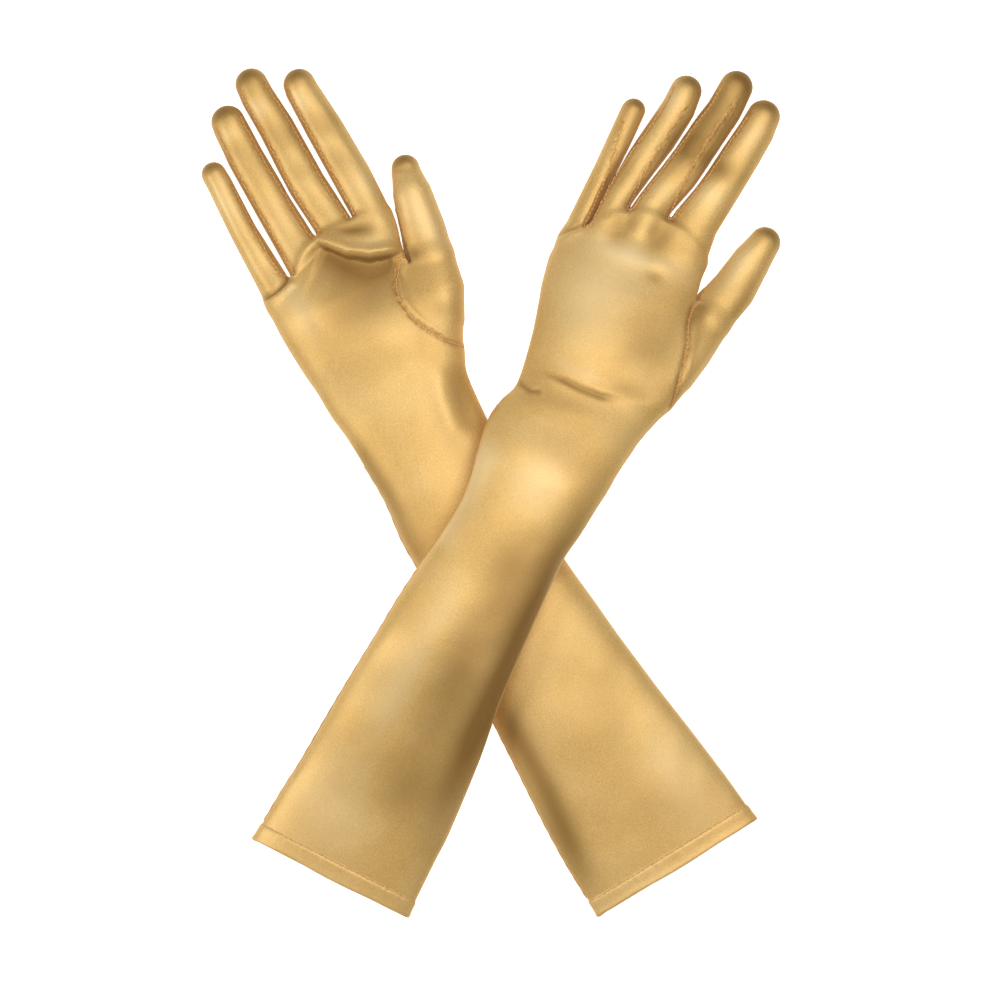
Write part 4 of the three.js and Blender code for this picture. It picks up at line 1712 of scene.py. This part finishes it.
        # Painted shade and highlights, on the upper side only.
        self.tone = self.tones() * upper
        push -= self.seam_depth * self.seam
        mesh.points += mesh.normals * (push * upper)[:, None]
        mesh.find_normals()
        self.cloth = mesh
        self.tree = BVHTree.FromPolygons(mesh.points.tolist(), mesh.faces.tolist())

    def tones(self) -> np.ndarray:
        """Painted shade that the folds, hollows and fingertips give the cloth's colour.

        Returns:
            Strength of the painted shade at each point, a painted highlight where negative.
        """
        tone = sum(fold.tint(self.u, self.v) for fold in self.form.hand_folds)
        tone = tone + sum(fold.tint(self.p, self.q) for fold in self.form.arm_folds)
        # Painted shade on each fingertip, a little past the tip.
        for finger, shape in self.form.fingers.items():
            _, _, lean = self.hinge(finger)
            turn = math.radians(lean)
            u, v, half = shape.path[-1]
            ahead = self.cap_place * half
            wide, long = self.cap_reach
            painted_tip_shade = Hollow((u + ahead * math.sin(turn), v + ahead * math.cos(turn)),
                         (wide * half, long * half), 0, -lean, self.cap_shade)
            tone = tone + painted_tip_shade.tint(self.u, self.v)
        return np.clip(tone, -1, 1)

    def drift(self, p: np.ndarray, q: np.ndarray) -> np.ndarray:
        """Slow waviness of filled cloth.

        Args:
            p: Across places on the sleeve's own line.
            q: Along places on it.

        Returns:
            Height of the waves at each place, about one high.
        """
        phase = WAVE_START[self.side]
        return (
            np.sin(p / 9.5 + q / 21 + phase)
            + 0.8 * np.sin(q / 12.5 - p / 17 + 2 * phase)
            + 0.6 * np.sin(q / 7.4 + p / 11 + 3 * phase)
            + 0.35 * np.sin(q / 4.3 - p / 5.2 + 1.4 * np.sin(p / 13 + phase))
            * np.sin(q / 17 + p / 12 + phase)
        ) / 2.5

    def top_seam(self, finger: str, edge: Edge) -> np.ndarray:
        """The seam on top of a finger, beside one of its strips.

        Args:
            finger: The finger's name.
            edge: Which of its sides.

        Returns:
            The seam's [across, along] places, from the root to the tip.
        """
        shape = self.form.fingers[finger]
        if edge in shape.top_seams:
            return np.array(shape.top_seams[edge])
        path = np.array(shape.path)
        gap = list(self.form.fingers).index(finger) - (1 if edge is Edge.OUTER else 2)
        gap = min(max(gap, 0), len(self.form.crotches) - 1)
        ahead = np.gradient(path[:, :2], axis=0)
        ahead /= np.linalg.norm(ahead, axis=1, keepdims=True)
        beside = np.stack([ahead[:, 1], -ahead[:, 0]], axis=1)
        line = path[:, :2] + beside * path[:, 2:] * self.strip_edge * edge.value
        start = self.form.crotches[gap][1] + self.seam_start
        along = np.linspace(start, path[-1, 1], self.seam_points)
        return np.stack([eased(np.stack([line[:, 1], line[:, 0]], 1), along), along], axis=1)

    def all_seams(self) -> list[tuple[str, Edge]]:
        """Every finger side that carries a fourchette."""
        return [(n, e) for n, shape in self.form.fingers.items() for e in shape.sides]

    def seam_marks(self, upper: np.ndarray) -> np.ndarray:
        """Finds the cloth beside the seams on the upper side.

        Args:
            upper: How far each point is on the upper side, from 0 to 1.

        Returns:
            How near each point is to such a seam, from 0 to 1.
        """
        mark = np.zeros(len(self.u))
        lines = [self.top_seam(finger, edge) for finger, edge in self.all_seams()]
        for line in [*lines, self.form.top_seam]:
            distance, _, _ = line_reading(line, self.u, self.v)
            mark = np.maximum(mark, np.exp(-((distance / self.seam_reach) ** 2)))
        return mark * upper

    # ---- panels

    def sort_panels(self) -> dict[str, np.ndarray]:
        """Which faces belong to each cut piece of cloth.

        Returns:
            For each CAD node's name without its side, the faces of that piece.
        """
        faces = self.cloth.faces
        u, v = self.u[faces].mean(axis=1), self.v[faces].mean(axis=1)
        upper = self.cloth.normals[faces].mean(axis=1)[:, 2] > 0
        names = list(self.form.fingers)
        near = np.stack([self.near[n][faces].mean(axis=1) for n in names])
        owner = near.argmin(axis=0)
        taken = v < self.sleeve_end
        panels = {"sleeve": taken.copy()}
        self.strip = np.zeros(len(self.u))
        for i, name in enumerate(names):
            root_u, root_v, lean = self.hinge(name)
            turn = math.radians(lean)
            past = (u - root_u) * math.sin(turn) + (v - root_v) * math.cos(turn)
            mine = (owner == i) & (past > 0) & ~taken
            if name == "thumb":
                mine &= near[i] < self.thumb_reach
            taken = taken | mine
            for edge in self.form.fingers[name].sides:
                chosen = mine & self.on_strip(name, edge, u, v, upper)
                panels[f"{name}_{edge.word}_fourchette"] = chosen
                self.strip[faces[chosen].ravel()] = 1.0
                mine = mine & ~chosen
            panels[f"{name}_stall"] = mine
        low, high = self.gusset_span
        gusset = ~taken & (u > self.seam_across(upper, v)) & (v > low) & (v < high)
        panels["thumb_gusset"] = gusset
        panels["hand_panel"] = ~taken & ~gusset
        return panels

    def seam_across(self, upper: np.ndarray, v: np.ndarray) -> np.ndarray:
        """Where the thumb seam runs.

        Args:
            upper: Whether each place is on the upper side.
            v: Along places.

        Returns:
            The seam's across place there.
        """
        seams = (self.form.top_seam, self.form.under_seam)
        rows = [sorted((along, across) for across, along in seam) for seam in seams]
        above, below = (np.interp(v, *np.array(row).T) for row in rows)
        return np.where(upper, above, below)

    def on_strip(self, name: str, edge: Edge, u: np.ndarray, v: np.ndarray,
                 upper: np.ndarray) -> np.ndarray:
        """Sorts places on a finger by its side strip.

        Args:
            name: The finger's name.
            edge: Which of its sides.
            u: Across places.
            v: Along places.
            upper: Whether each place is on the upper side.

        Returns:
            Whether each place lies on the strip.
        """
        path = np.array(self.form.fingers[name].path)
        centre, half = (np.interp(v, path[:, 1], path[:, k]) for k in (0, 2))
        below = centre + edge.value * half * self.strip_edge
        seam = self.top_seam(name, edge)
        above = np.interp(v, seam[:, 1], seam[:, 0])
        limit = np.where(upper, above, below)
        end = path[-1, 1] + path[-1, 2] - self.tip_margin
        return ((u - limit) * edge.value > 0) & (v < end)

    # ---- pieces

    def keep(self, piece: bpy.types.Object, node: str) -> bpy.types.Object:
        """Hides the CAD node that a finished piece takes the place of, and keeps the piece.

        Args:
            piece: The piece.
            node: The node's name without its side.

        Returns:
            The piece.
        """
        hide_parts(f"{self.name}_{node}")
        self.pieces.append(piece)
        log.info("%s: %d points", piece.name, len(piece.data.vertices))
        return piece

    def bend_wrist(self, piece: bpy.types.Object) -> None:
        """Works out the wrist's bend span, which nothing uses, and bakes the piece's placement into
        its points.
        """
        start, end = (self.table_point(0, v) for v in self.wrist_bend)
        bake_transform(piece)

    def bend_finger(self, piece: bpy.types.Object, finger: str) -> None:
        """Works out a finger's hinge and bend end, which nothing uses, and bakes the piece's placement
        into its points.

        Args:
            piece: The piece.
            finger: The finger's name.
        """
        u, v, lean = self.hinge(finger)
        turn = math.radians(lean)
        end = (u + math.sin(turn) * self.finger_bend, v + math.cos(turn) * self.finger_bend)
        self.table_point(u, v)
        self.table_point(*end)
        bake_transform(piece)

    def carry(self, piece: bpy.types.Object, node: str) -> None:
        """Ties a sleeve piece to the arm's body, and hands hand and finger pieces to bend_wrist or
        bend_finger.

        Args:
            piece: The piece.
            node: The node's name without its side.
        """
        first = node.split("_")[0]
        if first in self.form.fingers and node not in ("thumb_gusset", "thumb_seam_stitching"):
            self.bend_finger(piece, first)
        elif node.startswith(("hand", "thumb")):
            self.bend_wrist(piece)
        else:
            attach(piece, f"{self.name}_arm")

    def cut_cloth(self) -> None:
        """Cuts the surface into its panels, each a piece of cloth with thickness."""
        panels = self.sort_panels()
        # The tone mark carries the painted shade and highlights to the satin finish.
        self.cloth.marks = {"seam": self.seam, "strip": self.strip, "tone": self.tone}
        for node, chosen in panels.items():
            part = self.cloth.part(chosen, self.wall)
            piece = part.as_object(f"{self.name}_{node}_cloth",
                                   [self.wardrobe.satin, self.wardrobe.lining])
            self.keep(piece, node)
            self.carry(piece, node)
            log.info("%s: %.0f mm2 of cloth on one side", piece.name, part.area() / 2)

    # ---- stitching

    def drop(self, u: float, v: float, under: bool = False) -> tuple[Vector, Vector] | None:
        """Looks for the cloth straight above or below a place in the hand.

        Args:
            u: Across place.
            v: Along place.
            under: Whether it looks up at the underside.

        Returns:
            The cloth's point and outward direction, or nothing where there is no cloth.
        """
        x, y = self.hand.table(u, v)
        low, high = self.drop_heights
        start = Vector((float(x), float(y), low if under else high))
        spot, normal, _, _ = self.tree.ray_cast(start, Vector((0, 0, 1.0 if under else -1.0)))
        return None if spot is None else (spot, normal)

    def trace(self, line: np.ndarray, under: bool = False) -> tuple[np.ndarray, np.ndarray]:
        """Follows a line of hand places over the cloth.

        Args:
            line: The line's corner places.
            under: Whether it runs on the underside.

        Returns:
            Points on the cloth and its outward directions.
        """
        lengths = np.concatenate([[0], np.cumsum(np.linalg.norm(np.diff(line, axis=0), axis=1))])
        places = np.arange(0, lengths[-1], self.trace_step)
        hits = [self.drop(np.interp(s, lengths, line[:, 0]), np.interp(s, lengths, line[:, 1]), under)
                for s in places]
        found = [hit for hit in hits if hit is not None and abs(hit[1].z) > self.edge_on]
        return np.array([list(h[0]) for h in found]), np.array([list(h[1]) for h in found])

    def stitch(self, node: str, path: np.ndarray, normals: np.ndarray, row: StitchRow) -> None:
        """Sews a row of stitches along a path and passes it to keep and carry.

        Args:
            node: The stitching's CAD node without its side.
            path: Points on the cloth.
            normals: The cloth's outward direction at each of them.
            row: The kind of stitches.
        """
        seed = sum(map(ord, self.name + node))
        piece = row.build(path, normals, seed).as_object(f"{self.name}_{node}_thread",
                                                         [self.wardrobe.thread])
        self.keep(piece, node)
        self.carry(piece, node)

    def sew(self) -> None:
        """Sews the finger seams and the thumb seam."""
        for finger, edge in self.all_seams():
            line = self.top_seam(finger, edge)
            row = StitchRow(length=2.0, radius=0.34, stray=0.22)
            if edge in self.form.fingers[finger].top_seams:
                line = np.concatenate([np.array(SEAM_CURL) + line[0], line])
            self.stitch(f"{finger}_{edge.word}_stitching", *self.trace(line), row)
        top = self.trace(np.array(self.form.top_seam))
        under = self.trace(np.array(self.form.under_seam)[::-1], under=True)
        path, normals = (np.concatenate(pair) for pair in zip(top, under))
        self.stitch("thumb_seam_stitching", path, normals,
                    StitchRow(pitch=1.9, length=1.75, radius=0.34, stray=0.1))

    # ---- hem and side seam

    def arm_section(self, q: np.ndarray, turn: np.ndarray, proud: np.ndarray) -> np.ndarray:
        """Points on the sleeve's rounded sections.

        Args:
            q: Along places.
            turn: Angles round the section.
            proud: How far outside the sleeve's surface.

        Returns:
            Points in millimetres.
        """
        arm = self.form.arm
        behind = self.field.wrist_along - q
        half = eased(arm.thick, behind) / 2
        middle = eased(arm.floor, behind) + half
        power = 2 / arm.squareness
        c, s = np.cos(turn), np.sin(turn)
        reach = eased(arm.outline, q, 2) + proud
        p = eased(arm.outline, q, 1) + reach * np.sign(c) * np.abs(c) ** power
        z = middle + (half + proud) * np.sign(s) * np.abs(s) ** power
        x, y = self.arm.table(p, q)
        return np.stack([x, y, z], axis=-1)

    def fold_hem(self, columns: int = 360) -> None:
        """Makes the turned-up hem band with its lip, and the stitching round it.

        Args:
            columns: How many sections the band has round the cuff.
        """
        turn = np.linspace(0, 2 * math.pi, columns, endpoint=False)[:, None]
        along, proud = np.array(HEM_SECTION).T[:, None, :]
        middle, reach = self.hem_gather
        gather = np.exp(-(((along - middle) / reach) ** 2)) * (proud > 0)
        q = self.cuff + along + waves(turn, EDGE_WANDER) * (along < self.hem_depth / 2)
        points = self.arm_section(q, np.broadcast_to(turn, q.shape),
                                  proud + waves(turn, HEM_RIPPLES) * gather)
        rows = len(HEM_SECTION)
        grid = np.arange(columns * rows).reshape(columns, rows)
        after = np.roll(grid, -1, axis=0)
        follow = np.roll(grid, -1, axis=1)
        both = np.roll(after, -1, axis=1)
        faces = np.stack([grid, follow, both, after], axis=-1).reshape(-1, 4)
        band = ClothMesh(points.reshape(-1, 3), faces)
        band.points[:, 2] = np.maximum(band.points[:, 2], self.table_gap)
        band.turn_outward()
        band.find_normals()
        piece = band.as_object(f"{self.name}_hem_band_cloth", [self.wardrobe.hem])
        self.keep(piece, "hem_band")
        self.carry(piece, "hem_band")
        ring = np.linspace(0, 2 * math.pi, self.ring_points)
        line = np.full(self.ring_points, self.cuff + self.hem_stitch_line)
        rise = np.full(self.ring_points, self.hem_stitch_rise)
        path = self.arm_section(line, ring, rise)
        self.stitch("hem_stitching", path, self.arm_section(line, ring, rise + 1) - path,
                    StitchRow(pitch=2.9, length=2.5, radius=0.3, stray=0.08))

    def lay_side_seam(self, columns: int = 500) -> None:
        """Makes the welt of the long side seam, on the edge of the sleeve where its CAD node lies.

        Args:
            columns: How many sections the welt has.
        """
        low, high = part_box(f"{self.name}_side_seam")
        middle = (low + high) / 2 / MM
        p, _ = self.arm.local(middle.x, middle.y)
        edge = math.pi if float(p) < 0 else 0.0
        from_cuff, from_wrist = self.welt_ends
        q = np.linspace(self.cuff + from_cuff, self.field.wrist_along - from_wrist, columns)
        height, length = self.welt_ripple
        half = eased(self.form.arm.thick, self.field.wrist_along - q) / 2
        rows = []
        for across, proud in WELT_SECTION:
            lift = across / half
            rise = np.sign(lift) * np.abs(lift) ** (self.form.arm.squareness / 2)
            turn = edge + (1 if edge == 0 else -1) * np.arcsin(np.clip(rise, -1, 1))
            rows.append(self.arm_section(q, turn, proud + height * np.sin(q / length)))
        points = np.stack(rows, axis=1)
        count = len(WELT_SECTION)
        grid = np.arange(columns * count).reshape(columns, count)
        follow = np.roll(grid, -1, axis=1)
        faces = np.stack([grid[:-1], follow[:-1], follow[1:], grid[1:]], axis=-1).reshape(-1, 4)
        welt = ClothMesh(points.reshape(-1, 3), faces, marks={"seam": np.ones(columns * count)})
        welt.turn_outward()
        welt.find_normals()
        piece = welt.as_object(f"{self.name}_side_seam_cloth", [self.wardrobe.hem])
        self.keep(piece, "side_seam")
        self.carry(piece, "side_seam")

    # ---- what the cloth is

    def build(self) -> None:
        """Makes every piece of the glove."""
        self.shape_cloth()
        self.cut_cloth()
        self.sew()
        self.fold_hem()
        self.lay_side_seam()


# ---- table, light and camera


@dataclass(frozen=True)
class Lamp:
    """A square soft light that faces the gloves.

    Attributes:
        name: The light's name.
        place: Where it hangs.
        size: Length of its side.
        power: Its power in watts.
    """

    name: str
    place: tuple[float, float, float]
    size: float
    power: float

    def hang(self) -> None:
        """Adds the light to the scene, out of the camera's sight."""
        lamp = bpy.data.lights.new(self.name, "AREA")
        lamp.size = self.size
        lamp.energy = self.power
        thing = bpy.data.objects.new(self.name, lamp)
        thing.location = self.place
        thing.rotation_euler = Vector(self.place).to_track_quat("Z", "Y").to_euler()
        thing.visible_camera = False
        bpy.context.scene.collection.objects.link(thing)


@dataclass(frozen=True)
class Studio:
    """The plain pale table, the soft light and the camera.

    Attributes:
        view_width: Width of table that the camera sees at the gloves' height, in metres.
        view_centre: Where the camera looks, on the table.
        view_height: The gloves' middle height.
        distance: Camera's distance above that height.
        sensor: Camera's sensor width, in millimetres.
        floor_size: Half width of the table.
        floor_drop: How far the table top lies below the gloves.
        floor_tones: The table's two colours, which drift into each other.
        floor_clouds: Clouds of those colours per metre.
        floor_roughness: Roughness of the table.
        floor_glow: Strength of the table's own glow.
        seen_glow: What is added to that glow where the camera sees the table itself.
        room_colour: Colour of the even light from all round.
        room_strength: Strength of that light.
        lamps: A broad light overhead and a key light from the left.
    """

    view_width: float = 0.503
    view_centre: tuple[float, float] = (0.001, 0.0352)
    view_height: float = 0.012
    distance: float = 5.0
    sensor: float = 36.0
    floor_size: float = 6.0
    floor_drop: float = 0.0004
    floor_tones: Triples = ((0.86, 0.86, 0.86), (0.9, 0.9, 0.9))
    floor_clouds: float = 3.0
    floor_roughness: float = 0.9
    floor_glow: float = 0.4
    seen_glow: float = 0.5
    room_colour: tuple[float, float, float] = (1.0, 0.99, 0.97)
    room_strength: float = 0.17
    lamps: tuple[Lamp, ...] = (
        Lamp("overhead_light", (0.2, 0.22, 1.1), 0.75, 8.4),
        Lamp("key_light", (-0.95, -0.15, 0.9), 0.5, 6.0),
    )

    def build(self) -> None:
        """Makes the floor, world, lights and camera."""
        bpy.context.scene.view_settings.view_transform = "Standard"
        self.lay_floor()
        self.light()
        self.place_camera()

    def lay_floor(self) -> None:
        """A pale table top that glows a little, as a lit sweep does."""
        mesh = bpy.data.meshes.new("table_top")
        s = self.floor_size
        mesh.from_pydata([(-s, -s, 0), (s, -s, 0), (s, s, 0), (-s, s, 0)], [], [(0, 1, 2, 3)])
        floor = bpy.data.objects.new("table_top", mesh)
        floor.location.z = -self.floor_drop
        bpy.context.scene.collection.objects.link(floor)
        material, bench, shader, place = new_material("pale_table")
        noise = bench.add("ShaderNodeTexNoise")
        noise.inputs["Scale"].default_value = self.floor_clouds
        bench.join(place, noise.inputs["Vector"])
        colour = bench.mixed(noise.outputs[0], *self.floor_tones)
        bench.join(colour, shader.inputs["Base Color"])
        shader.inputs["Roughness"].default_value = self.floor_roughness
        shader.inputs["Emission Color"].default_value = (1, 1, 1, 1)
        seen = bench.add("ShaderNodeLightPath").outputs["Is Camera Ray"]
        glow = bench.maths("ADD", bench.maths("MULTIPLY", seen, self.seen_glow), self.floor_glow)
        bench.join(glow, shader.inputs["Emission Strength"])
        mesh.materials.append(material)

    def light(self) -> None:
        """Sets the dim even light of the room and hangs the lamps."""
        world = bpy.data.worlds.new("even_room")
        world.use_nodes = True
        background = world.node_tree.nodes["Background"]
        background.inputs[0].default_value = (*self.room_colour, 1)
        background.inputs[1].default_value = self.room_strength
        bpy.context.scene.world = world
        for lamp in self.lamps:
            lamp.hang()

    def place_camera(self) -> None:
        """A camera that looks straight down."""
        data = bpy.data.cameras.new("overhead")
        data.sensor_width = self.sensor
        data.lens = self.sensor * self.distance / self.view_width
        camera = bpy.data.objects.new("overhead", data)
        camera.location = (*self.view_centre, self.view_height + self.distance)
        bpy.context.scene.collection.objects.link(camera)
        bpy.context.scene.camera = camera


def main() -> None:
    """Builds the gloves and the studio, and notes the sizes."""
    logging.basicConfig(level=logging.INFO, format="%(name)s: %(message)s")
    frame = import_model()
    wardrobe = Wardrobe.make()
    for side, form in ((Side.RIGHT, RIGHT_FORM), (Side.LEFT, LEFT_FORM)):
        glove = Glove(side, form, frame, wardrobe)
        glove.build()
        log.info("%s glove: %d pieces", side.value, len(glove.pieces))
    Studio().build()


if __name__ == "__main__":
    main()
